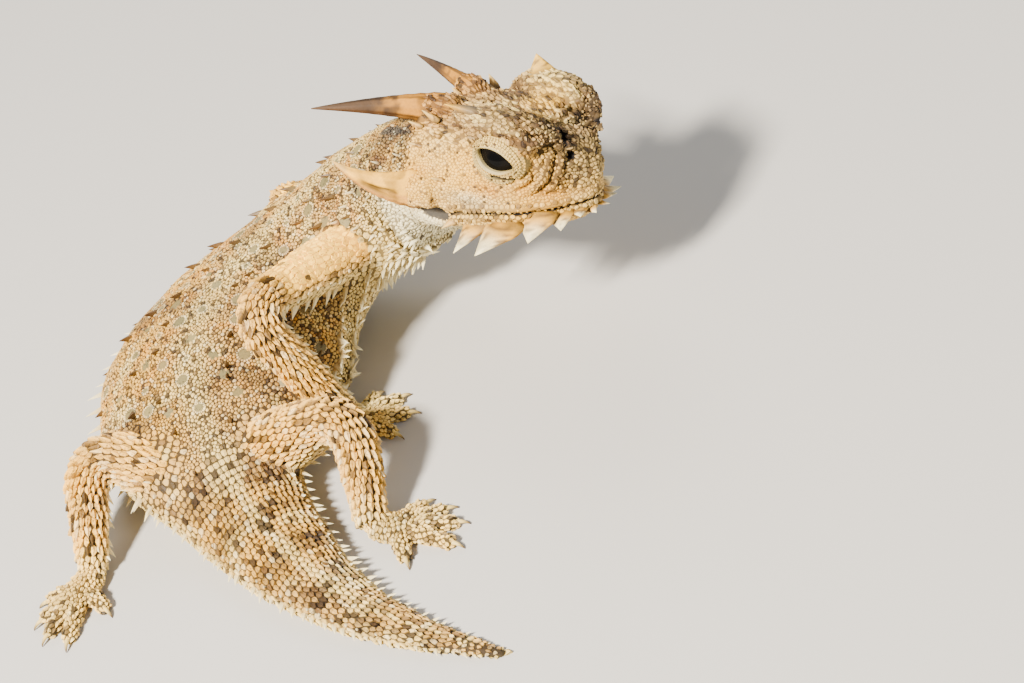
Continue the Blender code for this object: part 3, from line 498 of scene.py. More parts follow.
def carveHead(places, normals):  # folds, creases and hollows, each a small move along the skin's normal
    x, y, z = folded(intoHead(places))
    onIt = (x > -1) & (y < 13) & (z > -10) & (z < 13)
    beside = z - mouthHeight(x)
    lips = fold("mouthLine", beside) + fold("upperLip", beside) + fold("lowerLip", beside)
    move = lips * ramp(x, head["gape"][0] - 1.0, head["gape"][0] + 0.5)
    away = nostrilAway(x, y, z)
    move += fold("nostrilRim", away) + fold("nostril", away)
    ear = earFold(x, z)
    move += ramp(y, 5.5, 6.5) * (carve["ear"] * (1 - ramp(ear, 0.7, 1.05)) + fold("earRim", ear))
    move += fold("parting", y) * ramp(x, 4, 8) * ramp(z, 4, 6) * (1 - ramp(x, 15.5, 17.5))
    move += carve["pit"] * pitDepth(x, y, z) + fold("dimple", fromPlace(x, y, z, carve["dimpleAt"]))
    fromEye = fromPlace(x, y, z, head["eye"]) + 0.5 * (noise(places, 1.6, 13) - 0.5)
    wrinkled = ramp(fromEye, 3.5, 4.1) * (1 - ramp(fromEye, 6.6, 7.4))
    wrinkled = wrinkled * ramp(x, 12.3, 13.6) * ramp(z, 0.8, 2.2)
    broken = ramp(noise(places, 1.3, 14), 0.25, 0.6)
    least, more = carve["wrinkle"]
    wave = np.sin(fromEye * 2 * np.pi / (carve["wrinkleWidth"] + 0.25 * broken))
    move += (least + more * broken) * wave * wrinkled
    snout = ramp(x, 13.5, 15.5) * ramp(z, 0.8, 2.0)
    relief = np.abs(noise(places, 1.1, 16) - 0.5) * 2 - 0.4
    move += carve["snoutRelief"] * relief * snout * (1 - wrinkled)
    brow = ramp(y, 4.2, 5.2) * ramp(x, 5.5, 7.5) * (1 - ramp(x, 13.5, 15.0))
    move += brow * (fold("browRidge", z) + fold("browFold", z))
    temple = ramp(x, 0, 1.5) * (1 - ramp(x, 6.0, 8.0)) * ramp(y, 4, 6)
    move += fold("templeFold", z - (3.9 + 0.12 * (x - 4))) * temple
    move += carve["grain"] * (noise(places, 1.5, 3) - 0.5)
    places = places + normals * (move * onIt)[:, None]
    for side in (1, -1):  # the eyeball looks out through the skin, and the lids close round it
        depth, ring = fromLids(side, places)[::2]
        offset = places - eyeMiddle(side)
        away = np.linalg.norm(offset, axis=1)
        inside = (depth > 0.3) & (ring < 0.93)
        shrink = np.where(inside, np.minimum(1, carve["eyeSocket"] / np.maximum(away, 0.1)), 1)
        places = eyeMiddle(side) + offset * shrink[:, None]
    return places


hashPrimes = (374761393, 668265263, 2147483647, 1274126177)


def noise(points, size, seed):  # soft random values from 0 to 1 that change over about one size
    grid = points / size + seed * 17.31
    cell = np.floor(grid).astype(np.int64)
    part = grid - cell
    part = part * part * (3 - 2 * part)
    total = np.zeros(len(points))
    for corner in range(8):
        step = np.array([(corner >> k) & 1 for k in range(3)])
        key = (cell + step) @ np.array(hashPrimes[:3]) + seed * hashPrimes[3]
        key = ((key & 0xFFFFFFFF) ^ ((key & 0xFFFFFFFF) >> 13)) * hashPrimes[3] & 0xFFFFFFFF
        value = ((key ^ (key >> 16)) & 0xFFFF) / 65535
        total += np.prod(np.where(step, part, 1 - part), axis=1) * value
    return total


def neckFolds(places, normals):
    where = anatomy(places)
    s, rise = where["along"], where["rise"]
    onBody = where["part"] == 0
    wobble = 2.5 * (noise(places, 5, 21) - 0.5)
    side = 1 - ramp(abs(rise), 0.3, 0.95)
    folds = 0.32 * np.sin((s + wobble) * 2.6) * ramp(s, 30, 34) * (0.4 + 0.6 * side)
    gular = -0.7 * bump(s + wobble, 35.5, 0.8) * ramp(-rise, -0.1, 0.5)
    flank = 0.25 * np.sin(s * 1.9 + wobble * 2) * bump(rise, -0.25, 0.3) * (1 - ramp(abs(s - 5), 12, 18))
    lumps = 0.5 * (noise(places, 3.2, 5) - 0.5) * ramp(rise, -0.3, 0.3)
    return places + normals * ((folds + gular + flank + lumps) * onBody)[:, None]


def anatomy(points):  # which part each point is on, where along and round it, and which way its scales lie
    count = len(points)
    samples = np.arange(body["tailEnd"], body["headStation"] + 0.1, 1.0)
    centres = spineAt(samples)
    nearest = np.empty(count, dtype=int)
    for low in range(0, count, 20000):
        gap = points[low:low + 20000, None] - centres[None]
        nearest[low:low + 20000] = np.argmin(dot(gap, gap), axis=1)
    station = samples[nearest]
    station = station + dot(points - centres[nearest], bodyAxes(station)[0])
    station = np.clip(station, samples[0], samples[-1])
    ahead, left, up = bodyAxes(station)
    offset = points - spineAt(station)
    across, over = dot(offset, left), dot(offset, up)
    wide = bodyTrack["halfWidth"](station)
    reach = np.where(over >= 0, bodyTrack["backHeight"](station), reachBelow(station))
    power = np.where(over >= 0, body["backPower"], body["bellyPower"])
    q = (abs(across / wide) ** power + abs(over / reach) ** power) ** (1 / power)
    best = (q - 1) / np.maximum(q, 0.01) * np.hypot(across, over)
    part = np.zeros(count, dtype=int)
    along, angle = station.copy(), np.arctan2(over / reach, across / wide)
    rise, flow = np.sin(angle), -ahead
    local = intoHead(points)
    onHeadNow = (local[:, 0] > 0) & (abs(local[:, 1]) < 14) & (local[:, 2] > -11) & (local[:, 2] < 14)
    part[onHeadNow] = 1
    angle = np.where(onHeadNow, np.arctan2(local[:, 2] - 1, local[:, 1]), angle)
    along = np.where(onHeadNow, local[:, 0], along)
    rise = np.where(onHeadNow, np.sin(angle), rise)
    flow = np.where(onHeadNow[:, None], -headAxes[0] + 0.25 * np.sign(local[:, 1:2]) * headAxes[1], flow)
    best = np.where(onHeadNow, -5, best)
    for number, limb in enumerate(limbs):
        near = np.where(np.linalg.norm(points - limb.path[len(limb.path) // 2], axis=1) < 26)[0]
        if not len(near):
            continue
        gap = points[near, None] - limb.path[None]
        distance = np.linalg.norm(gap, axis=2) - limb.radii[None]
        at = np.argmin(distance, axis=1)
        depth = distance[np.arange(len(near)), at]
        ways = limb.axes[0][at]
        side, top = (dot(gap[np.arange(len(near)), at], limb.axes[k][at]) for k in (1, 2))
        spots = limb.share[at]
        turn = np.arctan2(top, side)
        palm = np.linalg.norm((points[near] - limb.palm) / (1.3, 1.3, 1), axis=1) - 1.6
        closer = palm < depth - 0.2
        depth = np.where(closer, palm, depth)
        spots = np.where(closer, 1.0, spots)
        for place in limb.toes:
            line = place[2] - place[0]
            share = np.clip((points[near] - place[0]) @ line / (line @ line), 0, 1.05)
            toeDepth = np.linalg.norm(points[near] - place[0] - share[:, None] * line, axis=1) - 0.7
            closer = (toeDepth < depth - 0.1) & (share > 0.15)
            depth = np.where(closer, toeDepth, depth)
            ways = np.where(closer[:, None], unit(line), ways)
            spots = np.where(closer, 1 + share, spots)
        mine = depth < best[near] - 0.15
        rows = near[mine]
        part[rows], along[rows], angle[rows] = 2 + number, spots[mine], turn[mine]
        rise[rows], flow[rows], best[rows] = np.sin(turn[mine]), ways[mine], depth[mine]
    return {"part": part, "along": along, "angle": angle, "rise": rise, "flow": flow, "local": local}


skin = remeshed(coarseFlesh(), skinPlan["voxel"])
refineHead(skin)
places, normals, triangles = meshArrays(skin.data)
setPlaces(skin.data, neckFolds(places, normals))
places, normals, triangles = meshArrays(skin.data)
onPaw = anatomy(places)
onPaw = (onPaw["part"] > 1) * ramp(onPaw["along"], 0.85, 1.0)
depth = skinPlan["coatDepth"] + (skinPlan["pawDepth"] - skinPlan["coatDepth"]) * onPaw
places = carveHead(places, normals) - normals * depth[:, None]
places[:, 2] = np.maximum(places[:, 2], skinPlan["floorSkin"])
setPlaces(skin.data, places)
print("skin", len(triangles), "triangles")


def lidCrease(flat):  # the fold that runs from under the opening to the front, pressed in and darkened with painted shade
    (x0, y0), (x1, y1) = lidPlan["crease"]
    run = np.array((x1 - x0, y1 - y0))
    share = np.clip((flat - (x0, y0)) @ run / (run @ run), 0, 1)[..., None]
    return bump(np.linalg.norm(flat - (x0, y0) - share * run, axis=-1), 0, 0.28)


def lidPoint(side, share, turn):  # share runs from the opening's edge (0) to the outer fold (1)
    out, front, upper = lidAxes(side)
    centre = eyeMiddle(side)
    share, turn = np.broadcast_arrays(np.asarray(share, float), np.asarray(turn, float))
    grown = np.clip(share, 0, 1)[..., None]
    size = np.array(head["lidOpening"]) * (1 - grown) + np.array(lidPlan["outer"]) * grown
    flat = np.stack((size[..., 0] * np.cos(turn), size[..., 1] * np.sin(turn)), axis=-1)
    corner = 0.35 * (1 - grown[..., 0]) * np.abs(np.cos(turn)) ** 6
    flat[..., 0] += corner * np.sign(np.cos(turn))
    folds = lidPlan["foldHeight"] * (1 - np.cos(2 * np.pi * lidPlan["folds"] * grown[..., 0])) * \
        (1 - 0.4 * grown[..., 0])
    radius = head["eyeRadius"] + head["lidGap"] + folds
    radius = radius + head["lidThickness"] * np.minimum(1, 0.55 + grown[..., 0])
    radius = radius + np.minimum(share, 0) * lidPlan["rimDepth"] - 0.5 * lidCrease(flat)
    radius = radius - 0.45 * ramp(grown[..., 0], 0.82, 1.0)
    height = np.sqrt(np.maximum(radius ** 2 - dot(flat, flat), 0.3))
    return centre + front * flat[..., :1] + upper * flat[..., 1:] + out * height[..., None]


def makeLids(side, name):
    shares = np.concatenate((np.linspace(-1.2, -0.05, 4), np.linspace(0, 1, lidPlan["rows"])))
    turn = np.linspace(0, 2 * np.pi, lidPlan["columns"], endpoint=False)
    shape = bmesh.new()
    rolledGrid(shape, lidPoint(side, shares[:, None], turn[None]))
    lids = smoothShaded(newObject(name, shape))
    outward = lidAxes(side)[0]
    if sum(Vector(outward).dot(face.normal) for face in lids.data.polygons) < 0:
        lids.data.flip_normals()
    return lids


lids = {"R": makeLids(-1, "lids_R"), "L": makeLids(1, "lids_L")}


# where the scales grow
def surfacePoints(places, normals, triangles, count, weights):  # random places, more where weights are high
    corners = places[triangles]
    area = np.linalg.norm(np.cross(corners[:, 1] - corners[:, 0], corners[:, 2] - corners[:, 0]), axis=1) / 2
    odds = area * weights
    chosen = rng.choice(len(triangles), count, p=odds / odds.sum())
    u, v = rng.random((2, count))
    flip = u + v > 1
    u, v = np.where(flip, 1 - u, u), np.where(flip, 1 - v, v)
    share = np.stack((1 - u - v, u, v), axis=1)[..., None]
    spots = np.sum(corners[chosen] * share, axis=1)
    ways = unit(np.sum(normals[triangles[chosen]] * share, axis=1))
    return spots, ways, area.sum()


def treeOf(spots):
    tree = kdtree.KDTree(len(spots))
    for i, spot in enumerate(spots):
        tree.insert(spot, i)
    tree.balance()
    return tree


def thinned(spots, spacing, flow, aspect, first):  # keeps places their spacing apart, the first ones always
    tree = treeOf(spots)
    alive = np.ones(len(spots), dtype=bool)
    keep = []
    flows, places = flow.tolist(), spots.tolist()
    for i, (reach, longer) in enumerate(zip(spacing.tolist(), aspect.tolist())):
        if not alive[i]:
            continue
        keep.append(i)
        fx, fy, fz = flows[i]
        px, py, pz = places[i]
        shrink = 1 - 1 / (longer * longer)
        limit = reach * reach
        for co, j, distance in tree.find_range(spots[i], reach * longer):
            if j >= first:
                along = (co[0] - px) * fx + (co[1] - py) * fy + (co[2] - pz) * fz
                if distance * distance - along * along * shrink < limit:
                    alive[j] = False
    return np.array(keep)


coat = {
    # spacing, height, keel, lift of the rear edge, how far the tip is drawn out, length by width, and how
    # light the edge is painted: painted shade at each scale's rim and on the skin between the scales
    "back": (0.40, 0.085, 0.3, 0.10, 0.15, 1.1, 0.10),
    "belly": (0.60, 0.06, 0.05, 0.12, 0.4, 1.2, 0.30),
    "neck": (0.34, 0.08, 0.2, 0.08, 0.1, 1.05, 0.12),
    "tail": (0.62, 0.13, 0.8, 0.35, 0.7, 1.4, 0.08),
    "limb": (0.68, 0.15, 0.9, 0.42, 1.0, 1.35, 0.06),
    "limbUnder": (0.52, 0.09, 0.2, 0.2, 0.5, 1.2, 0.15),
    "upperArm": (0.50, 0.025, 0.1, 0.05, 0.4, 1.5, 0.80),
    "paw": (0.46, 0.14, 0.5, 0.35, 0.6, 1.2, 0.10),
    "crown": (0.38, 0.06, 0.9, 0.25, 0.5, 2.4, 0.42),
    "face": (0.30, 0.035, 0.3, 0.05, 0.15, 1.25, 0.55),
    "snout": (0.40, 0.085, 0.5, 0.15, 0.3, 1.6, 0.26),
    "throat": (0.42, 0.07, 0.3, 0.15, 0.5, 1.3, 0.30),
    "bare": (0.34, 0.02, 0.0, 0.0, 0.1, 1.1, 0.85),
}


def coatAt(points, where):  # blends the coat's kinds by region
    table = {key: np.array(value) for key, value in coat.items()}
    rise, s, part, local = where["rise"], where["along"], where["part"], where["local"]

    def mix(a, b, share):
        return a + (b - a) * share[:, None]

    bodyLook = mix(np.tile(table["back"], (len(points), 1)), table["belly"], ramp(-rise, 0.15, 0.55))
    bodyLook = mix(bodyLook, table["neck"], ramp(s, 16, 28) * ramp(rise, -0.5, 0.0))
    bodyLook = mix(bodyLook, table["throat"], ramp(s, 24, 32) * ramp(-rise, 0.0, 0.4))
    bodyLook = mix(bodyLook, table["tail"], 1 - ramp(s, -24, -16))
    limbLook = mix(np.tile(table["limb"], (len(points), 1)), table["limbUnder"], ramp(-rise, 0.2, 0.7))
    limbLook = mix(limbLook, table["upperArm"], upperArm(where))
    limbLook = mix(limbLook, table["paw"], ramp(s, 0.9, 1.0))
    x, y, z = folded(local)
    headLook = mix(np.tile(table["face"], (len(points), 1)), table["crown"], ramp(z, 4.6, 6.2))
    headLook = mix(headLook, table["snout"], ramp(x, 13.6, 15.2) * ramp(z, 1.2, 2.4))
    headLook = mix(headLook, table["throat"], ramp(mouthHeight(x) - z, 1.4, 2.4))
    headLook = mix(headLook, table["bare"], aroundEar(where))
    bodyLook = mix(bodyLook, table["bare"], aroundEar(where))
    return np.where((part == 0)[:, None], bodyLook, np.where((part == 1)[:, None], headLook, limbLook))


def aroundEar(where):  # the smooth white skin behind the jaw, round the ear
    x, y, z = folded(where["local"])
    return (where["part"] < 2) * bump(x, 1.8, 3.4) * bump(z, -4.0, 1.7) * ramp(y, 3.0, 5.0)


def upperArm(where):  # the smooth yellow patch along each upper arm's outer side
    arm = (where["part"] == 2) | (where["part"] == 3)
    s, rise = where["along"], where["rise"]
    return arm * ramp(s, 0.04, 0.12) * (1 - ramp(s, 0.42, 0.5)) * ramp(rise, -0.25, 0.15)


def keepOff(spots):  # no scales in the mouth's line, the nostrils, the ears or under the lids
    x, y, z = folded(intoHead(spots))
    onIt = (x > -0.5) & (y < 13) & (z > -10) & (z < 13)
    recessShade = (abs(z - mouthHeight(x)) < 0.16) & (x > head["gape"][0] - 0.5)
    nostril = (nostrilAway(x, y, z) < 0.58) | (pitDepth(x, y, z) > 0.4)
    blocked = recessShade | nostril | ((earFold(x, z) < 0.95) & (y > 5))
    for side in (1, -1):
        depth, ring = fromLids(side, spots)[::2]
        blocked |= (depth > 0.5) & (ring < 0.94)
    for keys in (head["occipital"], head["temporal"]):  # nor on the horns
        root, bend = np.array(keys[0]), np.array(keys[1])
        way = unit(bend - root)
        offset = np.stack((x, y, z), axis=1) - root
        up = offset @ way
        beside = np.linalg.norm(offset - up[:, None] * way, axis=1)
        blocked |= (up > 0.3 + 1.6 * (noise(spots, 0.9, 15) - 0.3)) & (beside < keys[3] * 1.35)
    return ~(blocked & onIt)


places, normals, triangles = meshArrays(skin.data)
skinTree = BVHTree.FromPolygons([tuple(place) for place in places], triangles.tolist())


def onSkin(points):  # the nearest place on the skin, and the way out there
    found = [skinTree.find_nearest(point) for point in points]
    return np.array([hit[0] for hit in found]), np.array([hit[1] for hit in found])


# scales set one by one or in rows, before the rest fill in between them
planted = {"spots": [], "size": [], "kind": []}
rowPlan = {"limb": (0.74, 0.92), "tail": (0.66, 0.84), "belly": (0.62, 0.74), "lip": 0.52,
           "rosettes": 95, "rosetteGap": 2.7, "rosetteRing": 0.76, "rosetteBeads": 17, "rosetteCentre": 1.25,
           "tries": 430000}


def plant(points, size, kind):
    points = np.asarray(points).reshape(-1, 3)
    planted["spots"].append(points)
    planted["size"].append(np.full(len(points), float(size)))
    planted["kind"].append(np.full(len(points), kind, dtype=object))


def ringPlaces(ring, width, shift, low=0.0, high=1.0):  # even places round a closed ring of points
    closed = np.concatenate((ring, ring[:1]))
    lengths = np.concatenate(([0], np.cumsum(np.linalg.norm(np.diff(closed, axis=0), axis=1))))
    count = max(5, int(round(lengths[-1] / width)))
    at = (np.arange(count) + shift) / count
    at = at[(at >= low) & (at <= high)]
    return np.stack([np.interp(at * lengths[-1], lengths, closed[:, k]) for k in range(3)], axis=1)


for limb in limbs:
    width, step = rowPlan["limb"]
    sides = np.linspace(0, 2 * np.pi, 48, endpoint=False)
    for row, distance in enumerate(np.arange(1.5, limb.distances[-1], step)):
        k = int(np.searchsorted(limb.distances, distance))
        way, side, over = (axis[k] for axis in limb.axes)
        ring = limb.path[k] + (side * np.cos(sides)[:, None] + over * np.sin(sides)[:, None]) * limb.radii[k]
        size = width * (0.8 + 0.2 * min(1, limb.radii[k] / 2.5))
        band = ringPlaces(ring, size, 0.5 * (row % 2))
        plant(band + rng.normal(0, 0.07, band.shape), size, "row")
turn = np.linspace(0, 2 * np.pi, 90, endpoint=False)
width, step = rowPlan["tail"]
for row, station in enumerate(np.arange(body["tailEnd"] + 0.8, -17, step)):
    slim = 0.7 + 0.3 * min(1, float(bodyTrack["halfWidth"](station)) / 5)
    band = ringPlaces(bodyPoint(station, turn), width * slim, 0.5 * (row % 2))
    plant(band + rng.normal(0, 0.05, band.shape), width * slim, "row")
width, step = rowPlan["belly"]
for row, station in enumerate(np.arange(-17, 33, step)):
    plant(ringPlaces(bodyPoint(station, turn), width, 0.5 * (row % 2), 0.56, 0.94), width, "row")
for side in (1, -1):
    for lift, offset in ((0.36, 0), (-0.36, 0.3), (0.82, 0.28), (-0.8, 0)):
        xs = np.arange(head["gape"][0] + offset, 18.9, rowPlan["lip"])
        ys = headTrack["width"](xs) * side
        plant(onHead(np.stack((xs, ys, mouthHeight(xs) + lift), axis=1)), rowPlan["lip"] * 0.9, "lip")
        plant(onHead([(19.3, 0.35 * side, mouthHeight(19.2) + lift)]), 0.6, "lip")

# rosettes on the back: a smooth grey-green plate in a ring of pale beads
stations, turns = rng.uniform(-12, 33, 900), rng.uniform(0.12, 0.88, 900) * np.pi
centres = bodyPoint(stations, turns)
chosen = []
for i, centre in enumerate(centres):
    if len(chosen) < rowPlan["rosettes"] and all(np.linalg.norm(centre - centres[j]) > rowPlan["rosetteGap"]
                                                 for j in chosen):
        chosen.append(i)
rosettes, rosetteWays = onSkin(centres[chosen])
for centre, way in zip(rosettes, rosetteWays):
    grown = rng.uniform(0.5, 1.15)
    plant(centre, rowPlan["rosetteCentre"] * grown, "rosette")
    if rng.random() < 0.3:
        continue
    side = unit(np.cross(way, (0.3, 0.2, 0.9)))
    over = np.cross(way, side)
    at = np.linspace(0, 2 * np.pi, rowPlan["rosetteBeads"], endpoint=False) + rng.random()
    ring = side * np.cos(at)[:, None] + over * np.sin(at)[:, None]
    plant(centre + ring * rowPlan["rosetteRing"] * grown, 0.3, "bead")

early = np.concatenate(planted["spots"])
earlySize, earlyKind = np.concatenate(planted["size"]), np.concatenate(planted["kind"])
earlySpots, earlyWays = onSkin(early)
earlyWhere = anatomy(earlySpots)
isBody = earlyWhere["part"] == 0
moved = np.linalg.norm(earlySpots - early, axis=1)
kept = (moved < np.where(earlyKind == "lip", 2.0, 1.2)) & keepOff(earlySpots)
kept &= (earlyKind != "lip") | (earlyWhere["part"] == 1)
kept &= ~np.isin(earlyKind, ("rosette", "bead")) | isBody
order = np.argsort(np.where(earlyKind == "rosette", 0, np.where(earlyKind == "bead", 1, 2)), kind="stable")
order = order[kept[order]]
nearRosette = np.min(np.linalg.norm(earlySpots[order][:, None] - rosettes[None], axis=2), axis=1)
order = order[(nearRosette > 1.0) | np.isin(earlyKind[order], ("rosette", "bead"))]
apart = thinned(earlySpots[order], earlySize[order] * np.where(earlyKind[order] == "bead", 0.6, 0.55),
                earlyWhere["flow"][order], np.ones(len(order)), 0)
order = order[apart]

middles = places[triangles].mean(axis=1)
faceSpacing = coatAt(middles, anatomy(middles))[:, 0]
spots, ways, area = surfacePoints(places, normals, triangles, rowPlan["tries"], 1 / faceSpacing ** 2)
kept = keepOff(spots)
spots, ways = spots[kept], ways[kept]
first = len(order)
spots, ways = np.concatenate((earlySpots[order], spots)), np.concatenate((earlyWays[order], ways))
kinds = np.concatenate((earlyKind[order], np.full(len(ways) - first, "fill", dtype=object)))
where = anatomy(spots)
look = coatAt(spots, where)
look[:, 0] *= 0.82 + 0.36 * noise(spots, 1.3, 9)
look[:first, 0] = earlySize[order]
isPlate = kinds == "rosette"
look[isPlate, 1:] = (0.05, 0, 0, 0, 1, 0.06)
look[kinds == "bead", 1:] = (0.11, 0, 0, 0, 1, 0.30)
look[kinds == "lip", 1:] = (0.09, 0, 0, 0, 1.1, 0.12)
spacing = look[:, 0] * 0.80
spacing[isPlate] = look[isPlate, 0] * 0.5
keep = thinned(spots, spacing, where["flow"], look[:, 5], first)
print("skin area", round(area), "mm2,", len(keep), "scales,", first, "of them planted")


# colours, the same on skin and scales: a palette and where each colour lies
palette = {
    "sand": (0.74, 0.58, 0.31), "cream": (0.87, 0.76, 0.46), "white": (0.93, 0.89, 0.72),
    "ochre": (0.86, 0.64, 0.20), "orange": (0.80, 0.53, 0.15), "brown": (0.29, 0.19, 0.10),
    "dark": (0.10, 0.07, 0.045), "grey": (0.50, 0.42, 0.30), "green": (0.47, 0.43, 0.28),
    "pink": (0.82, 0.60, 0.40), "slate": (0.27, 0.25, 0.22), "yellow": (0.96, 0.74, 0.26),
    # near black: painted shade inside the mouth's line, the nostrils and the pits above them
    "recessShade": (0.08, 0.05, 0.035),
}
paint = {name: np.array(colour) ** 2.2 for name, colour in palette.items()}


def tinted(colour, name, share):
    return colour + (paint[name] - colour) * np.clip(share, 0, 1)[:, None]


def markings(points, where, spread=None):  # the colour at each place; spread adds each scale's own chance
    part, s, rise, local = where["part"], where["along"], where["rise"], where["local"]
    chance = np.full(len(points), 0.5) if spread is None else spread
    soft, fine, broad = noise(points, 2.2, 1), noise(points, 0.9, 2), noise(points, 6, 4)
    colour = np.tile(paint["sand"], (len(points), 1))

    def lay(name, share):
        nonlocal colour
        colour = tinted(colour, name, share)

    onBody, onHeadNow, onLimb = part == 0, part == 1, part >= 2
    back = ramp(rise, -0.15, 0.45)
    # body: pale below, sandy above with wavy orange-brown streaks across it and ochre washes
    lay("cream", onBody * (1 - back) * 0.85)
    lay("white", onBody * ramp(-rise, 0.5, 0.9) * 0.5)
    lay("ochre", onBody * back * ramp(broad, 0.42, 0.7) * 0.45)
    lay("cream", onBody * back * ramp(soft, 0.5, 0.75) * 0.6)
    wave = s + 4.5 * (soft - 0.5) + 2.0 * (fine - 0.5) + 3 * np.cos(where["angle"] * 2)
    streak = ramp(np.sin(wave * 2 * np.pi / 4.6), 0.45, 0.9)
    lay("orange", onBody * back * streak * 0.55 * ramp(s, -20, 0))
    bars = ramp(np.sin((s + 6 * (soft - 0.5)) * 2 * np.pi / 12.5), 0.3, 0.8) * bump(abs(rise), 0.8, 0.3)
    lay("brown", onBody * back * bars * (0.25 + 0.5 * fine) * ramp(s, -60, -20) * (1 - ramp(s, 24, 32)))
    lay("brown", onBody * (1 - ramp(s, -22, -16)) * back * 0.4 * ramp(np.sin(s * 2 * np.pi / 7), 0.1, 0.6))
    nape = ramp(s, 29, 34) * bump(rise, 0.55, 0.35) * ramp(fine + 0.3 * soft, 0.45, 0.75)
    lay("brown", onBody * nape * 0.8)
    # a dark blotch on each side of the nape: the species' own mark, and painted shadow of the top horns
    napeBlotchAndShadow = bump(s, 37.5, 2.2) * bump(rise, 0.86, 0.10)
    lay("slate", onBody * napeBlotchAndShadow * 0.85)
    lay("cream", onBody * back * bump(rise, 1.0, 0.012) * 0.6)
    lay("white", onBody * ramp(s, 34, 38) * (1 - ramp(rise, -0.1, 0.25)) * 0.8)
    # head: brownish grey crown, cream lids and cheeks with ochre and orange washes, pale throat
    x, y, z = folded(local)
    crown = onHeadNow * ramp(z + 0.8 * (soft - 0.5), 5.4, 7.0)
    lay("cream", onHeadNow * (1 - crown) * 0.6)
    lay("grey", crown * 0.35)
    flakes = noise(local * (0.45, 1.25, 1.25) + 40, 0.75, 17)
    lay("brown", crown * ramp(flakes, 0.52, 0.7) * 0.6)
    lay("cream", crown * ramp(-flakes, -0.42, -0.25) * 0.6)
    dome = onHeadNow * ramp(z, 8.0, 9.2) * bump(x, 10.5, 4.0) * (0.35 + 0.65 * ramp(local[:, 1], 1.0, 2.5))
    lay("cream", dome * 0.85)
    lay("ochre", dome * ramp(soft, 0.5, 0.8) * 0.5)
    lay("brown", dome * ramp(flakes, 0.6, 0.72) * 0.8)
    # painted shade in the valley between each brow and the dome, more on the left
    valley = onHeadNow * bump(y, 2.6, 0.8) * ramp(z, 6.5, 7.6) * ramp(x, 3.0, 6.0) * (1 - ramp(x, 15, 17))
    lay("dark", valley * (local[:, 1] > 0) * 0.5 + valley * ramp(flakes, 0.35, 0.6) * 0.4)
    lay("yellow", onHeadNow * bump(fromPlace(x, local[:, 1], z, (11, 2.6, 8.0)), 0, 2.2) * 0.7)
    lay("ochre", onHeadNow * (0.25 + 0.6 * ramp(broad, 0.38, 0.65)) * (1 - crown))
    top, side = (fromPlace(x, y, z, head[kind][0]) for kind in ("occipital", "temporal"))
    lay("orange", bump(top, 0, 3.0) * (part < 2) * 0.7)
    lay("yellow", bump(side, 0, 3.6) * (part < 2) * ramp(z, -1.2, 0.2) * 0.9)
    lay("orange", bump(side, 0, 3.2) * (part < 2) * 0.35)
    lay("white", onHeadNow * bump(x, 8.0, 2.2) * bump(z, 0.2, 0.8) * 0.6)
    lay("orange", onHeadNow * bump(fromPlace(x, y, z, (13.8, 5.6, 7.2)), 0, 1.3) * 0.7)
    lay("yellow", onHeadNow * bump(x, 6.4, 2.8) * bump(z, 2.2, 2.2) * (0.35 + 0.4 * soft))
    under = bump(z, 1.5, 0.8) * bump(x, 13.0, 4.5)
    lay("orange", onHeadNow * under * (0.25 + 0.6 * ramp(soft, 0.3, 0.7)))
    lay("orange", onHeadNow * bump(x, 4.5, 2.5) * bump(z, 2.0, 2.2) * ramp(soft, 0.35, 0.7) * 0.5)
    lay("grey", onHeadNow * ramp(x, 13.0, 15.5) * ramp(z, 1.6, 3.6) * 0.45)
    lay("brown", onHeadNow * ramp(x, 13.5, 16) * ramp(z, 2.4, 4.4) * ramp(fine, 0.4, 0.7) * 0.15)
    lay("white", onHeadNow * ramp(-z, 3.4, 4.6) * 0.6)
    lay("white", aroundEar(where) * 0.95)
    # painted shade in the pits above the nostrils and round each nostril's opening
    lay("dark", onHeadNow * ramp(pitDepth(x, y, z), 0.2, 0.5) * 0.85)
    lay("brown", onHeadNow * (1 - ramp(nostrilAway(x, y, z), 0.4, 0.8)) * 0.8)
    lay("grey", onHeadNow * bump(x, 8.5, 2.2) * bump(z, -0.4, 0.7) * 0.6)
    ahead, high = snoutView(x, y, z)  # painted shadow: a dark flat patch under each top horn
    hornShadow = ramp(3.6 - 0.33 * np.abs(ahead + 6.3) - high, 0, 0.2) * ramp(high, 2.2, 2.4) * (y > 2)
    lay("slate", (part < 2) * hornShadow * 0.9)
    # limbs: ochre above with brown joints between scales, pale below
    lay("ochre", onLimb * ramp(rise, -0.3, 0.5) * (0.3 + 0.4 * ramp(broad, 0.3, 0.6)))
    lay("cream", onLimb * ramp(-rise, 0.1, 0.6) * 0.8)
    lay("cream", onLimb * ramp(s, 0.85, 1.0) * 0.6)
    lay("yellow", upperArm(where) * 0.95)
    colour = colour * (1 + 0.25 * onLimb + 0.35 * upperArm(where))[:, None]
    lay("green", onLimb * ramp(s, 0.6, 0.9) * ramp(soft, 0.5, 0.8) * 0.35)
    # each scale's own chance: dark specks and pale ones
    if spread is not None:
        dots = np.where(onHeadNow, 0.10 + 0.13 * ramp(z, 3, 7), 0.13) * (0.4 + 1.2 * soft) * (0.3 + back)
        dots = dots * (1 - 0.9 * upperArm(where))
        lay("brown", (chance < dots) * 0.75)
        lay("dark", (chance < dots * 0.3) * 0.7)
        lay("white", (chance > 0.9) * (0.3 - 0.22 * onHeadNow) * (1 - upperArm(where)))
        colour = colour * (1 + (0.26 - 0.10 * onHeadNow) * ((chance * 7.3) % 1 - 0.5))[:, None]
    return colour


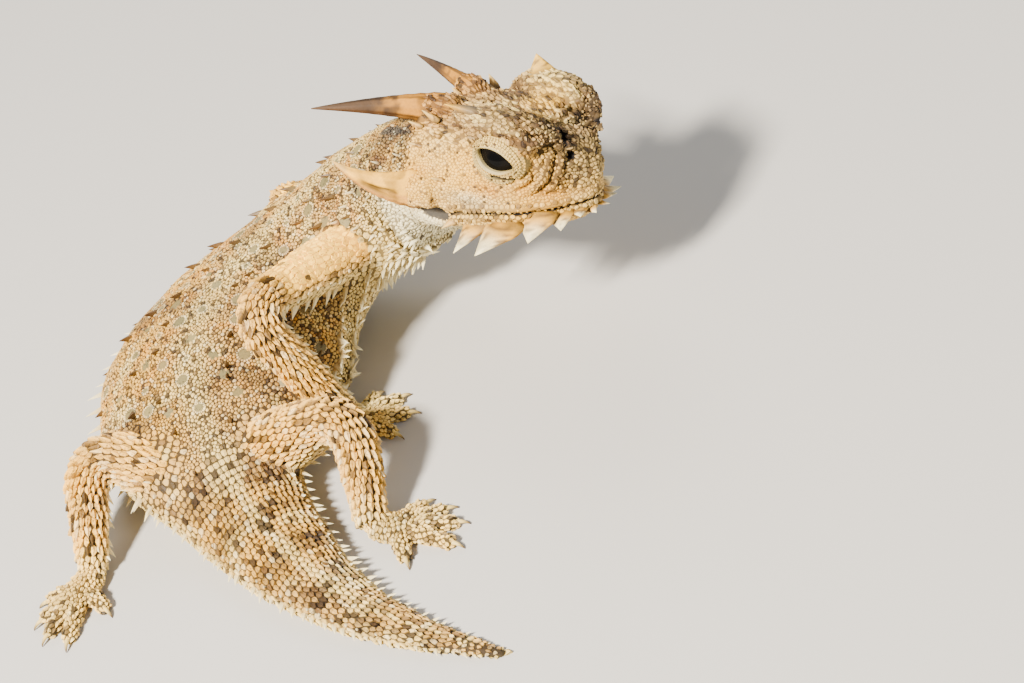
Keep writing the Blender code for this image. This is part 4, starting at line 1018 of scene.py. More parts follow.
def unwrapped(where):  # a place on a flat unwrap of the skin: a strip for each part, along by round
    part, s, turn = where["part"], where["along"], (where["angle"] / (2 * np.pi)) % 1
    strips = [(0.0, 0.5, body["tailEnd"], body["headStation"]), (0.5, 0.7, 0, 21)]
    strips += [(0.7 + 0.075 * k, 0.775 + 0.075 * k, 0, 2.1) for k in range(4)]
    uv = np.zeros((len(part), 2))
    for number, (low, high, start, end) in enumerate(strips):
        mine = part == number
        uv[mine, 0] = low + (high - low) * (0.04 + 0.92 * np.clip((s[mine] - start) / (end - start), 0, 1))
        uv[mine, 1] = 0.02 + 0.96 * turn[mine]
    return uv


def setTint(mesh, colours):
    layer = mesh.color_attributes.new("tint", "FLOAT_COLOR", "POINT")
    layer.data.foreach_set("color", np.concatenate((colours, np.ones((len(colours), 1))), axis=1).ravel())


def meshFrom(name, places, faces, uvs, colours):  # a joined mesh from arrays, in mm
    mesh = bpy.data.meshes.new(name)
    sides = faces.shape[1]
    mesh.vertices.add(len(places))
    mesh.vertices.foreach_set("co", (places * mm).ravel())
    mesh.loops.add(faces.size)
    mesh.loops.foreach_set("vertex_index", faces.ravel().astype(np.int32))
    mesh.polygons.add(len(faces))
    mesh.polygons.foreach_set("loop_start", np.arange(0, faces.size, sides, dtype=np.int32))
    mesh.polygons.foreach_set("use_smooth", np.zeros(len(faces), dtype=bool))
    layer = mesh.uv_layers.new(name="OFBake")
    layer.data.foreach_set("uv", uvs[faces.ravel()].ravel())
    setTint(mesh, colours)
    mesh.update()
    mesh.validate()
    return newObject(name, mesh=mesh)


# scales: each fills the cell between its neighbours, with its own dome, keel and lifted rear edge
scalePlan = {"gap": 0.97, "neighbours": 12, "uvPatch": 0.003, "mostTriangles": 190000,
             "full": (8, ((1.0, -0.25), (0.86, 0.72), (0.42, 1.0))),
             "small": (7, ((1.0, -0.25), (0.82, 0.8))),
             "plate": (14, ((1.0, -0.25), (0.88, 0.8), (0.5, 1.0)))}


def ringFaces(sides, rings):  # triangles from ring to ring, and from the last ring to one point above it
    faces, last = [], (rings - 1) * sides
    for i in range(sides):
        j = (i + 1) % sides
        for a in range(0, last, sides):
            faces += [(a + i, a + j, a + sides + j), (a + i, a + sides + j, a + sides + i)]
        faces.append((last + i, last + j, last + sides))
    return faces


def repeated(faces, count, per):  # the same triangles for each of many small things
    return (np.array(faces)[None] + (np.arange(count) * per)[:, None, None]).reshape(-1, 3)


def buildScales(name, kind, spots, ways, flow, look, colours, uv, rough):
    (sides, levels), count = scalePlan[kind], len(spots)
    along = unit(flow - ways * dot(flow, ways)[:, None])
    across = np.cross(ways, along)
    tree, most = treeOf(spots), min(scalePlan["neighbours"], count - 1)
    near = np.array([[found[1] for found in tree.find_n(spot, most + 1)] for spot in spots])[:, 1:]
    gap = spots[near] - spots[:, None]
    flat = np.stack((dot(gap, along[:, None]), dot(gap, across[:, None])), axis=-1)
    turn = np.linspace(0, 2 * np.pi, sides, endpoint=False)
    rays = np.stack((np.cos(turn), np.sin(turn)), axis=1)
    size = look[:, 0]
    power = dot(flat, flat) + (size[:, None] ** 2 - size[near] ** 2) * 0.5
    facing = np.einsum("nmk,sk->nms", flat, rays)
    reach = np.where(facing > 0.02, power[..., None] / 2 / np.maximum(facing, 0.02), 9).min(axis=1)
    longest = size[:, None] * (0.68 + 0.5 * (look[:, 5:6] - 1) * np.abs(np.cos(turn))[None])
    reach = np.clip(reach, size[:, None] * 0.25, longest) * scalePlan["gap"]
    height, keel, lift, tip = (look[:, k:k + 1] for k in (1, 2, 3, 4))
    rear = np.maximum(np.cos(turn), 0)[None]
    lean = rng.normal(0, 0.22 * rough, (count, 2)) @ rays.T
    uneven = 1 + rough * rng.uniform(-0.35, 0.35, (count, sides))
    reach = reach * (1 + rough * rng.uniform(-0.10, 0.06, (count, sides)))
    reach = reach * (1 + tip * rear ** 6 * 0.9 - 0.25 * tip * np.abs(np.sin(turn)) * rear)
    ridge = np.abs(np.cos(turn))[None] ** 5
    verts, shade = [], []
    for share, rise in levels:
        up = height * rise
        if rise > 0:
            up = up * uneven + keel * height * ridge * (0.4 if share > 0.5 else 1.1) + \
                (lift * (rear - 0.25) + lean) * reach * share
        flatRing = along[:, None] * np.cos(turn)[:, None] + across[:, None] * np.sin(turn)[:, None]
        verts.append(spots[:, None] + flatRing * (reach * share)[..., None] + ways[:, None] * up[..., None])
        # painted shade at each scale's rim, painted light up its dome and towards its drawn-out rear tip
        edge = look[:, 6:7] if rise < 0 else 0.66 + 0.4 * rise
        shade.append(edge * (1 + 0.14 * tip * np.cos(turn)[None]))
    top = spots + ways * (height * (1.1 + 1.2 * keel)) + along * size[:, None] * 0.12 * lift
    shade = np.concatenate(shade + [np.full((count, 1), 1.08)], axis=1)
    verts = np.concatenate(verts + [top[:, None]], axis=1)
    verts[..., 2] = np.maximum(verts[..., 2], 0.02)
    per = verts.shape[1]
    faces = ringFaces(sides, len(levels))
    flatUv = np.concatenate([rays * share * 0.5 for share, rise in levels] + [np.zeros((1, 2))])
    made = []
    chunk = scalePlan["mostTriangles"] // len(faces)
    for low in range(0, count, chunk):
        rows = slice(low, min(low + chunk, count))
        allFaces = repeated(faces, rows.stop - rows.start, per)
        tint = (colours[rows, None] * shade[rows, :, None]).reshape(-1, 3)
        uvs = (uv[rows, None] + flatUv[None] * scalePlan["uvPatch"]).reshape(-1, 2)
        label = "%s_%d" % (name, len(made) + 1)
        made.append(meshFrom(label, verts[rows].reshape(-1, 3), allFaces, uvs, tint))
    return made


spots, ways, look, kinds = spots[keep], ways[keep], look[keep], kinds[keep]
where = {key: value[keep] for key, value in where.items()}
chance = rng.random(len(spots))
look = look * (1 + 0.25 * (rng.random((len(spots), 7)) - 0.5) * (0, 1, 1, 1, 1, 0, 0))
look[:, 1] *= np.exp(rng.normal(0, 0.25, len(spots)) * (where["part"] == 1))
colours = markings(spots, where, chance)
colours = np.where((kinds == "rosette")[:, None], paint["green"] * 0.75 + colours * 0.1, colours)
colours = np.where((kinds == "bead")[:, None], paint["white"] * 0.25 + colours * 0.75, colours)
lipSpeck = (kinds == "lip") & (chance < 0.3)
colours[lipSpeck] = paint["brown"] * 0.7 + colours[lipSpeck] * 0.3
uv = unwrapped(where)
wander = np.where(kinds == "fill", np.where(where["part"] == 1, 0.45, 0.5), 0.15)
scaleFlow = where["flow"] + wander[:, None] * (rng.random((len(spots), 3)) - 0.5)
for side in (1, -1):  # around each eye they lie in rings
    out = lidAxes(side)[0]
    offset = spots - eyeMiddle(side)
    away = np.linalg.norm(offset, axis=1)
    ringed = (where["part"] == 1) * (offset @ out > 0) * (1 - ramp(away, 5.0, 7.0))
    ringed = ringed * ramp(where["local"][:, 0], 9, 12)
    scaleFlow += 3 * side * np.cross(out, unit(offset)) * ringed[:, None]
onTail = (where["part"] == 0) & (where["along"] < -16)
isPlate = kinds == "rosette"
groups = [("scales_head", "full", where["part"] == 1, 0.65),
          ("scales_body", "small", (where["part"] == 0) & ~onTail & ~isPlate, 0.6),
          ("scales_rosette", "plate", isPlate, 0.2), ("scales_tail", "full", onTail, 0.4),
          ("scales_limbs", "full", where["part"] > 1, 0.4)]
coatPieces = []
for name, kind, mine, rough in groups:
    rows = [values[mine] for values in (spots, ways, scaleFlow, look, colours, uv)]
    coatPieces += buildScales(name, kind, *rows, rough)

# rows of small scales round each lid
for side, label in ((1, "L"), (-1, "R")):
    lidSpots = []
    for row, share in enumerate(np.arange(0.2, 1.0, 0.11)):
        ring = lidPoint(side, share, turn)
        lidSpots.append(ringPlaces(ring, 0.34, 0.5 * (row % 2)))
    lidSpots = np.concatenate(lidSpots)
    lidSpots = lidSpots[lidCrease(fromLids(side, lidSpots)[1]) < 0.35]
    lidWays = unit(lidSpots - eyeMiddle(side))
    lidWhere = anatomy(lidSpots)
    lidLook = np.tile((0.34, 0.06, 0.0, 0.0, 0.0, 1.0, 0.4), (len(lidSpots), 1))
    lidChance = rng.random(len(lidSpots))
    lidTint = (paint["cream"] * 0.7 + paint["ochre"] * 0.3) * (0.72 + 0.35 * lidChance)[:, None]
    ochreShare = ramp(noise(lidSpots, 1.3, 51), 0.45, 0.75)[:, None] * 0.5
    lidTint = lidTint * (1 - ochreShare) + paint["ochre"] * ochreShare
    lidTint[lidChance < 0.07] = paint["brown"]
    lidFlow = np.cross(lidWays, lidAxes(side)[0]) + 1e-3
    coatPieces += buildScales("scales_lid_" + label, "small", lidSpots, lidWays, lidFlow, lidLook, lidTint,
                              unwrapped(lidWhere), 0.2)
print(len(spots), "scales built in", len(coatPieces), "pieces")


# the skin between the scales carries the same markings, only darker: painted shade in the gaps between the
# scales
skinWhere = anatomy(places)
gapShade = coatAt(places, skinWhere)[:, 6] * 0.9
base = markings(places, skinWhere)
skinTint = base * gapShade[:, None] * (1.0, 0.92, 0.82)
x, y, z = folded(skinWhere["local"])
onHeadNow = skinWhere["part"] == 1
# painted shade in the line of the closed mouth
inMouth = onHeadNow * (1 - ramp(abs(z - mouthHeight(x)), 0.14, 0.26)) * (x > head["gape"][0] - 0.5)
skinTint = tinted(skinTint, "recessShade", inMouth)
skinTint = tinted(skinTint, "slate", onHeadNow * (1 - ramp(earFold(x, z), 0.85, 1.05)) * (y > 5))
# painted shade in the nostrils and in the long pits above them
skinTint = tinted(skinTint, "recessShade", onHeadNow * (1 - ramp(nostrilAway(x, y, z), 0.38, 0.6)))
skinTint = tinted(skinTint, "recessShade", onHeadNow * ramp(pitDepth(x, y, z), 0.25, 0.5) * 0.9)
setTint(skin.data, skinTint)


# spines: tapered, keeled and bent back, each with its root sunk in the skin
spinePlan = {"sides": 6, "rings": ((0.0, 1.0), (0.3, 0.78), (0.62, 0.42), (0.86, 0.16)), "sink": 0.3,
             "flatness": 0.6, "bend": 0.18}


def buildSpines(name, roots, outs, lengths, widths, broads, colourRoot, colourTip, uv):
    sides, count = spinePlan["sides"], len(roots)
    flatness, bend = spinePlan["flatness"], spinePlan["bend"]
    outs = unit(outs)
    broads = unit(broads - outs * dot(broads, outs)[:, None])
    thin = np.cross(outs, broads)
    turn = np.linspace(0, 2 * np.pi, sides, endpoint=False)
    lengths, widths = np.asarray(lengths)[:, None], np.asarray(widths)[:, None]
    verts, tints, flatUv = [], [], []
    for share, size in spinePlan["rings"]:
        middle = roots + outs * lengths * (share * (1 + spinePlan["sink"]) - spinePlan["sink"]) + \
            broads * lengths * bend * share ** 2
        ring = broads[:, None] * (widths[..., None] / 2 * size * np.cos(turn)[None, :, None]) + \
            thin[:, None] * (widths[..., None] / 2 * flatness * size * np.sin(turn)[None, :, None])
        verts.append(middle[:, None] + ring)
        # painted shade: each spine darkens towards its root, where it meets the skin
        tints.append(np.repeat((colourRoot * (0.3 + 0.7 * min(1, share * 3)) * (1 - share) +
                                colourTip * share)[:, None], sides, axis=1))
        flatUv.append(np.stack((np.cos(turn), np.sin(turn)), axis=1) * 0.5 * (1 - share))
    verts.append((roots + outs * lengths + broads * lengths * bend)[:, None])
    tints.append(colourTip[:, None])
    flatUv.append(np.zeros((1, 2)))
    verts, tints = np.concatenate(verts, axis=1), np.concatenate(tints, axis=1)
    verts[..., 2] = np.maximum(verts[..., 2], 0.02)
    faces = ringFaces(sides, len(spinePlan["rings"])) + [(0, i + 1, i) for i in range(1, sides - 1)]
    allFaces = repeated(faces, count, verts.shape[1])
    uvs = (uv[:, None] + np.concatenate(flatUv)[None] * scalePlan["uvPatch"]).reshape(-1, 2)
    return meshFrom(name, verts.reshape(-1, 3), allFaces, uvs, tints.reshape(-1, 3))


fringe = {
    # angle above the flank's edge, spacing, length, width
    "flank": ((7, 1.55, 2.1, 1.05), (-12, 1.4, 1.4, 0.85)), "flankEnds": (-16, 25),
    "tail": ((3, 1.35, 1.5, 0.95), (26, 1.8, 0.8, 0.8)), "tailEnds": (-60, -16),
    "back": ((72, 4.2, 1.3, 0.95), (48, 4.2, 1.6, 1.05), (24, 4.0, 1.2, 0.9)), "backEnds": (-14, 33),
    "tailTop": ((64, 2.2, 0.9, 0.9),),
    "neck": ((8, 1.9, 0.9, 0.75), (34, 2.6, 0.8, 0.7), (-12, 1.9, 0.8, 0.8), (-30, 1.6, 0.9, 0.8),
             (-42, 1.4, 1.0, 0.9), (-54, 1.3, 1.1, 0.95), (-68, 1.1, 1.6, 1.25), (-82, 1.6, 0.8, 0.8)),
    "neckEnds": (24, 40.5),
    # degrees round each limb, spacing, length, width, and how much longer under the upper arm
    "limb": ((250, 1.5, 1.25, 0.85), (292, 1.5, 1.0, 0.8), (205, 1.7, 0.9, 0.8), (160, 2.0, 0.7, 0.8),
             (20, 2.0, 0.7, 0.8)),
    "underArm": 1.5,
}
seeds = []  # place guess, lean, length, width, kind


def plantRow(rows, ends, lean, kind):
    for degrees, spacing, length, width in rows:
        stations = np.arange(ends[0], ends[1], spacing)
        for edge, way in ((0, 1), (180, -1)):
            loose = 3.0 if kind != "fringe" else 1.0
            jitter = rng.normal(0, 1, (len(stations), 2)) * (0.18 * spacing, loose)
            at = stations + jitter[:, 0] + (way > 0) * spacing / 2
            turn = np.radians(edge + way * (degrees + jitter[:, 1]))
            slim = np.clip(0.35 + bodyTrack["halfWidth"](at) / 6, 0, 1) * rng.uniform(0.75, 1.15, len(at))
            for place, station, size in zip(bodyPoint(at, turn), at, slim):
                seeds.append((place, -bodyAxes(station)[0] * lean, length * size, width * size, kind))


plantRow(fringe["flank"], fringe["flankEnds"], 0.5, "fringe")
plantRow(fringe["tail"], fringe["tailEnds"], 0.7, "fringe")
plantRow(fringe["back"], fringe["backEnds"], 0.9, "back")
plantRow(fringe["tailTop"], fringe["tailEnds"], 1.2, "back")
plantRow(fringe["neck"], fringe["neckEnds"], 0.6, "pale")
for limb in limbs:
    length = limb.distances[-1]
    for degrees, spacing, tall, wide in fringe["limb"]:
        for distance in np.arange(2.0, length - 1.2, spacing):
            at = distance + rng.normal(0, 0.2)
            turn = math.radians(degrees + rng.normal(0, 5))
            k = int(np.clip(np.searchsorted(limb.distances, at), 1, len(limb.distances) - 1))
            way, side, over = (axis[k] for axis in limb.axes)
            place = limb.path[k] + (side * math.cos(turn) + over * math.sin(turn)) * limb.radii[k]
            isUnderArm = limb.isArm and degrees > 240 and k < len(limb.path) / 2
            size = rng.uniform(0.75, 1.15) * (fringe["underArm"] if isUnderArm else 1)
            seeds.append((place, way * 0.8, tall * size, wide * size ** 0.5, "limb"))
guess = np.array([seed[0] for seed in seeds])
roots, rootWays = onSkin(guess)
seedWhere = anatomy(roots)
wanted = np.array([seed[4] == "limb" for seed in seeds]) == (seedWhere["part"] > 1)
wanted &= (np.linalg.norm(roots - guess, axis=1) < 1.2) & (roots[:, 2] > 0.35) & (upperArm(seedWhere) < 0.3)
wanted &= aroundEar(seedWhere) < 0.35
leans = np.array([seed[1] for seed in seeds])
lengths, widths = (np.array([seed[k] for seed in seeds]) for k in (2, 3))
base = markings(roots, seedWhere)
seedKinds = np.array([seed[4] for seed in seeds])
rootTint = base * np.where(seedKinds == "back", 0.3, 0.9)[:, None]
tipTint = np.where((seedKinds == "back")[:, None], paint["brown"], paint["white"])
pick = np.where(wanted)[0]
spines = buildSpines("spines", roots[pick], (rootWays + leans)[pick], lengths[pick], widths[pick],
                     leans[pick] + 1e-3, rootTint[pick], tipTint[pick],
                     unwrapped({key: value[pick] for key, value in seedWhere.items()}))
coatPieces.append(spines)
print(len(pick), "spines")


# head spines: the flat saw teeth of the jaw, the brow spines and the small crown spines
headSpines = {
    # place, way out, length and width at the root
    "jaw": [((8.9, 8.0, -3.1), (-0.7, 2.4, -2.1), 3.4, 2.6),
            ((11.9, 7.2, -2.6), (-0.8, 3.4, -2.0), 4.2, 4.4),
            ((15.0, 5.5, -1.5), (0.6, 2.25, -1.8), 2.75, 4.3),
            ((17.0, 3.8, -1.1), (1.15, 1.6, -0.8), 2.1, 2.9),
            ((18.3, 2.4, -0.7), (0.8, 0.8, -0.1), 1.25, 1.9),
            ((19.1, 0.9, -0.8), (0.9, 0.3, -0.3), 0.7, 1.1)],
    "brow": [((7.6, 6.6, 9.3), (-1.85, 2.0, 1.0), 3.0, 3.0)],
    "crown": [((0.8, 0.9, 6.9), (-0.8, 0.1, 0.6), 1.2, 0.9), ((2.2, 5.6, 6.8), (-0.7, 0.4, 0.6), 1.6, 1.1),
              ((1.6, 7.2, 4.2), (-0.8, 0.6, 0.2), 1.4, 1.1), ((5.2, 8.6, 1.7), (-0.5, 0.8, 0.3), 1.2, 1.0),
              ((0.4, 5.8, 5.6), (-0.9, 0.4, 0.4), 1.3, 1.0), ((3.6, 6.9, 5.6), (-0.7, 0.6, 0.5), 1.0, 0.9),
              ((0.9, 2.2, 7.0), (-0.8, 0.1, 0.7), 1.0, 0.8),
              ((6.4, 8.3, -2.9), (-0.6, 0.9, -0.6), 1.4, 1.0)],
}
# thickness by width, colour at the root and at the tip, and where it changes
spineLook = {
    "jaw": (0.24, paint["yellow"] * 0.4 + paint["orange"] * 0.35,
            paint["white"] * 0.75 + paint["cream"] * 0.25, 0.3),
    "brow_R": (0.3, paint["grey"], paint["ochre"], 0.45),
    "brow_L": (0.3, paint["yellow"], paint["yellow"], 0.45),
    "crown": (0.5, paint["sand"], paint["cream"] * 0.5 + paint["sand"] * 0.4, 0.45),
}


def flatSpine(shape, root, out, along, length, width, thick, seed):  # a curved tooth with a keel
    steps = np.linspace(-0.35, 1, 12)
    out = unit(out)
    along = unit(along - out * np.dot(along, out))
    side = np.cross(out, along)
    rings = []
    turn = np.linspace(0, 2 * np.pi, 16, endpoint=False)
    for t in steps:
        size = max(1 - max(t, 0), 0) * (1 + 0.3 * max(-t, 0)) + 0.015
        middle = root + out * length * t - along * length * 0.03 * max(t, 0) ** 2
        wide = along[None] * (np.sign(np.cos(turn)) * abs(np.cos(turn)) ** 0.8 * width / 2 * size)[:, None]
        keel = 1 + 0.25 * np.abs(np.sin(turn)) ** 6 + 0.05 * np.sin(5 * turn + seed)
        deep = side[None] * (np.sin(turn) * thick / 2 * size ** 0.8 * keel)[:, None]
        rings.append(middle + wide + deep)
    addTube(shape, np.array(rings))


def tintAlong(obj, root, out, length, near, far, edge):  # colours from the root to the tip
    places = meshArrays(obj.data)[0]
    t = ((places - root) @ unit(out)) / length
    share = ramp(t, edge - 0.25, edge + 0.5)[:, None]
    # painted shade: darker towards the root, where the spine meets the skin
    fade = ramp(t, -0.2, 0.15)[:, None]
    across = places - root - ((places - root) @ unit(out))[:, None] * unit(out) * 0.75
    streak = 0.62 + 0.7 * noise(across, 0.3, 11)[:, None]
    colour = (near * (1 - share) + far * share) * (0.4 + 0.6 * fade) * streak
    return tinted(colour, "brown", ramp(noise(places, 0.3, 12), 0.57, 0.68) * (1 - ramp(t, 0.4, 0.9)) * 0.75)


def makeHeadSpines():
    made = []
    for kind, rows in headSpines.items():
        for number, (root, out, length, width) in enumerate(rows):
            for side, label in ((1, "_L"), (-1, "_R")):
                shape = bmesh.new()
                way, reach = np.array(out), length
                if kind == "jaw" and side > 0 and root[0] > 14:  # the left front teeth stand out more level
                    way, reach = way * (1.2, 1.5, 0.1), length * 1.3
                place, way = onHead(mirrored(root, side)), headWay(mirrored(way, side))
                thick, near, far, change = spineLook[kind + label if kind == "brow" else kind]
                flatSpine(shape, place, way, headWay((1, 0, 0)), reach, width, width * thick, number + side)
                obj = newObject("tooth", shape)
                setTint(obj.data, tintAlong(obj, place, way, reach, near, far, change))
                made.append(smoothShaded(obj))
    with bpy.context.temp_override(active_object=made[0], selected_editable_objects=made):
        bpy.ops.object.join()
    made[0].name = "head_spines"
    return made[0]


headTeeth = makeHeadSpines()


# horns
hornLook = {
    # its wide way, width and thickness by radius, where it changes colour, and how deep its furrow is
    "occipital": ((0.24, 0.33, -0.93), 0.98, 0.62, 0.34, 0.0),
    "temporal": ((0.1, 0.1, -1.0), 1.22, 0.92, 0.8, 1.0),
}
hornPaint = {
    # root, tip and under side
    "occipital": (paint["orange"] * 0.6 + paint["sand"] * 0.12, paint["slate"] * 0.5 + paint["brown"] * 0.7,
                  paint["brown"]),
    "temporal": (paint["yellow"] * 0.6 + paint["orange"] * 0.35, paint["sand"],
                 paint["pink"] * 0.35 + paint["orange"] * 0.4),
}


def makeHorn(name, kind, side):
    rootColour, tipColour, under = hornPaint[kind]
    keys, (wideWay, wide, thick, change, furrowed) = head[kind], hornLook[kind]
    count = 44
    path, radii = hornLine(keys, side, count)
    path = np.concatenate(((path[0] - (path[1] - path[0]) * 4)[None], path))
    radii = np.concatenate(([radii[0]], radii))
    along = pathAxes(path)[0]
    broad = headWay(mirrored(wideWay, side))
    broad = unit(broad - along * (along @ broad)[:, None])
    thin = np.cross(along, broad)
    turn = np.linspace(0, 2 * np.pi, 48, endpoint=False)[None]
    t = np.linspace(0, 1, len(path))[:, None]
    furrows = 0.045 * np.sin(turn * 9 + 2 * np.sin(t * 3)) * (1 - t) + 0.03 * np.sin(turn * 4 + 1)
    growth = 0.03 * np.sin(t * 55 + 0.6 * np.sin(turn * 3)) * (1 - t) ** 1.5
    size = radii[:, None] * (1 + furrows + growth)
    ring = thin[:, None] * np.cos(turn)[..., None] * thick + broad[:, None] * np.sin(turn)[..., None] * wide
    shape = bmesh.new()
    addTube(shape, path[:, None] + ring * size[..., None])
    horn = newObject(name, shape)
    places, normals = meshArrays(horn.data)[:2]
    nearest = np.argmin(np.linalg.norm(places[:, None] - path[None], axis=2), axis=1)
    share = (nearest / (len(path) - 1))[:, None]
    lower = ramp(-normals @ headAxes[2], -0.1, 0.5)[:, None]
    wavy = normals @ headAxes[2] + 0.3 * (noise(places, 1.6, 34) - 0.5)
    furrow = bump(wavy, 0.05, 0.26)[:, None] * (1 - ramp(share, 0.45, 0.7)) * ramp(share, 0.1, 0.2)
    furrow = furrow * furrowed
    lengthwise = np.concatenate((share * 3, normals @ headAxes[1:].T * 2.6), axis=1)
    streak = (0.62 + 0.76 * noise(lengthwise, 0.7, 31))[:, None]
    mottle = ramp(noise(places, 0.8, 33), 0.45, 0.75)[:, None]
    setPlaces(horn.data, places - normals * 0.3 * furrow)
    turned = ramp(share + 0.12 * (mottle - 0.5), change - 0.18, change + 0.14)
    colour = rootColour * (1 - turned) + tipColour * turned
    colour = colour * (1 - lower * 0.85) + under * lower * 0.85
    # painted shade along the upper edge of the top horns, which have no furrow
    colour = colour * (1 - 0.5 * (1 - furrowed) * ramp(normals @ headAxes[2], 0.7, 0.95)[:, None])
    # the furrow is a groove pressed in above, and it is darkened here as painted shade
    colour = colour * (1 - 0.95 * furrow) * (1 - 0.5 * mottle * (1 - share)) * streak
    setTint(horn.data, colour)
    return smoothShaded(horn)


horns = []
for side, label in ((1, "L"), (-1, "R")):
    for piece, kind in (("horn_top_", "occipital"), ("horn_side_", "temporal")):
        horns.append((makeHorn(piece + label, kind, side), "horn_%s_%s" % (kind, label)))


# eyes
def makeEye(side, label):
    shape = bmesh.new()
    out = lidAxes(side)[0]
    turn = Vector((0, 0, 1)).rotation_difference(Vector(out)).to_matrix()
    addBall(shape, eyeMiddle(side), (head["eyeRadius"],) * 3, turn, 56)
    eye = newObject("eyeball_" + label, shape)
    places = meshArrays(eye.data)[0]
    angle = np.degrees(np.arccos(np.clip(unit(places - eyeMiddle(side)) @ out, -1, 1)))
    iris = ramp(angle, 17, 21)[:, None] * (1 - ramp(angle, 40, 44))[:, None]
    streak = (0.7 + 0.6 * noise(places, 0.4, 41))[:, None]
    setTint(eye.data, 0.002 + iris * np.array((0.003, 0.002, 0.001)) * streak)
    return smoothShaded(eye)


eyes = [(makeEye(side, label), "eye_" + label) for side, label in ((1, "L"), (-1, "R"))]


# claws, each bent through three places: how far past the toe's end, and how high over it
clawPlan = ((-0.5, 0.05), (0.7, 0.4), (1.3, -0.28))


def makeClaws(limb, name):
    shape = bmesh.new()
    for toe in limb.toes:
        tip = toe[-1]
        out = unit(toe[-1] - toe[0])
        path = bentLine(*(tip + out * reach + (0, 0, lift) for reach, lift in clawPlan), 12)
        radii = 0.27 * (1 - np.linspace(0, 1, 12)) ** 0.7 + 0.025
        addTube(shape, tubeRings(path, radii, 12))
    claws = newObject(name, shape)
    places = meshArrays(claws.data)[0]
    places[:, 2] = np.maximum(places[:, 2], 0.02)
    setPlaces(claws.data, places)
    reach = np.min([np.linalg.norm(places - toe[-1], axis=1) for toe in limb.toes], axis=0)
    share = ramp(reach, 0.4, 1.4)[:, None]
    setTint(claws.data, paint["cream"] * (1 - share) + paint["brown"] * share)
    return smoothShaded(claws)


claws = [makeClaws(limb, "claws_%s_%s" % ("front" if limb.isArm else "hind", "L" if limb.side > 0 else "R"))
         for limb in limbs]
print("horns, eyes, claws and head spines made")


# finishes
speckSize = 0.3


def finish(name, rough, bumpSize, bumpDepth, vary=0.25, specular=0.35, coatWeight=0.0, dots=0.0):
    material = bpy.data.materials.new(name)
    material.use_nodes = True
    nodes, links = material.node_tree.nodes, material.node_tree.links
    shader, coords = nodes["Principled BSDF"], nodes.new("ShaderNodeTexCoord")

    def grainOf(size, detail):
        grain = nodes.new("ShaderNodeTexNoise")
        grain.inputs["Scale"].default_value = 1 / (size * mm)
        grain.inputs["Detail"].default_value = detail
        links.new(coords.outputs["Object"], grain.inputs["Vector"])
        return grain.outputs["Fac"]

    def ranged(source, values):
        node = nodes.new("ShaderNodeMapRange")
        for key, value in values.items():
            node.inputs[key].default_value = value
        links.new(source, node.inputs["Value"])
        return node.outputs["Result"]

    grain = grainOf(bumpSize, 3.0)
    light = ranged(grain, {"To Min": 1 - vary, "To Max": 1 + vary})
    # small dark dots that cross the scales
    dark = ranged(grainOf(speckSize, 1.0), {"From Min": 0.58, "From Max": 0.68, "To Min": 1.0,
                                            "To Max": 1 - dots})
    both = nodes.new("ShaderNodeMath")
    both.operation = "MULTIPLY"
    links.new(light, both.inputs[0])
    links.new(dark, both.inputs[1])
    tint = nodes.new("ShaderNodeAttribute")
    tint.attribute_name = "tint"
    mix = nodes.new("ShaderNodeVectorMath")
    mix.operation = "SCALE"
    links.new(tint.outputs["Color"], mix.inputs[0])
    links.new(both.outputs["Value"], mix.inputs["Scale"])
    links.new(mix.outputs["Vector"], shader.inputs["Base Color"])
    roughness = ranged(grain, {"To Min": max(rough - 0.12, 0.02), "To Max": rough + 0.12})
    links.new(roughness, shader.inputs["Roughness"])
    relief = nodes.new("ShaderNodeBump")
    relief.inputs["Strength"].default_value = 0.6
    relief.inputs["Distance"].default_value = bumpDepth * mm
    links.new(grain, relief.inputs["Height"])
    links.new(relief.outputs["Normal"], shader.inputs["Normal"])
    shader.inputs["Specular IOR Level"].default_value = specular
    shader.inputs["Coat Weight"].default_value = coatWeight
    shader.inputs["Coat Roughness"].default_value = 0.05
    return material


skinFinish = finish("skin_between_scales", 0.8, 0.25, 0.08)
scaleFinish = finish("horny_scale", 0.6, 0.12, 0.05, 0.3, dots=0.55)
spineFinish = finish("pale_spine", 0.5, 0.2, 0.03)
hornFinish = finish("horn", 0.65, 0.3, 0.06, 0.25, 0.15)
lidFinish = finish("eyelid_skin", 0.7, 0.16, 0.05)
eyeFinish = finish("wet_eye", 0.14, 1.5, 0.0, 0.1, 0.05, 0.02)
clawFinish = finish("claw", 0.45, 0.3, 0.02)

flesh = ["tail_tip", "tail_base", "pelvis", "trunk", "chest", "neck", "head", "lower_jaw"]
for label in "LR":
    flesh += [part + "_" + label for part in ("upper_arm", "forearm", "hand", "thigh", "shank", "foot")]


def setUp(obj, material, nodes=()):
    obj.data.materials.clear()
    obj.data.materials.append(material)
    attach(obj, "root")
    if nodes:
        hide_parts(*nodes)


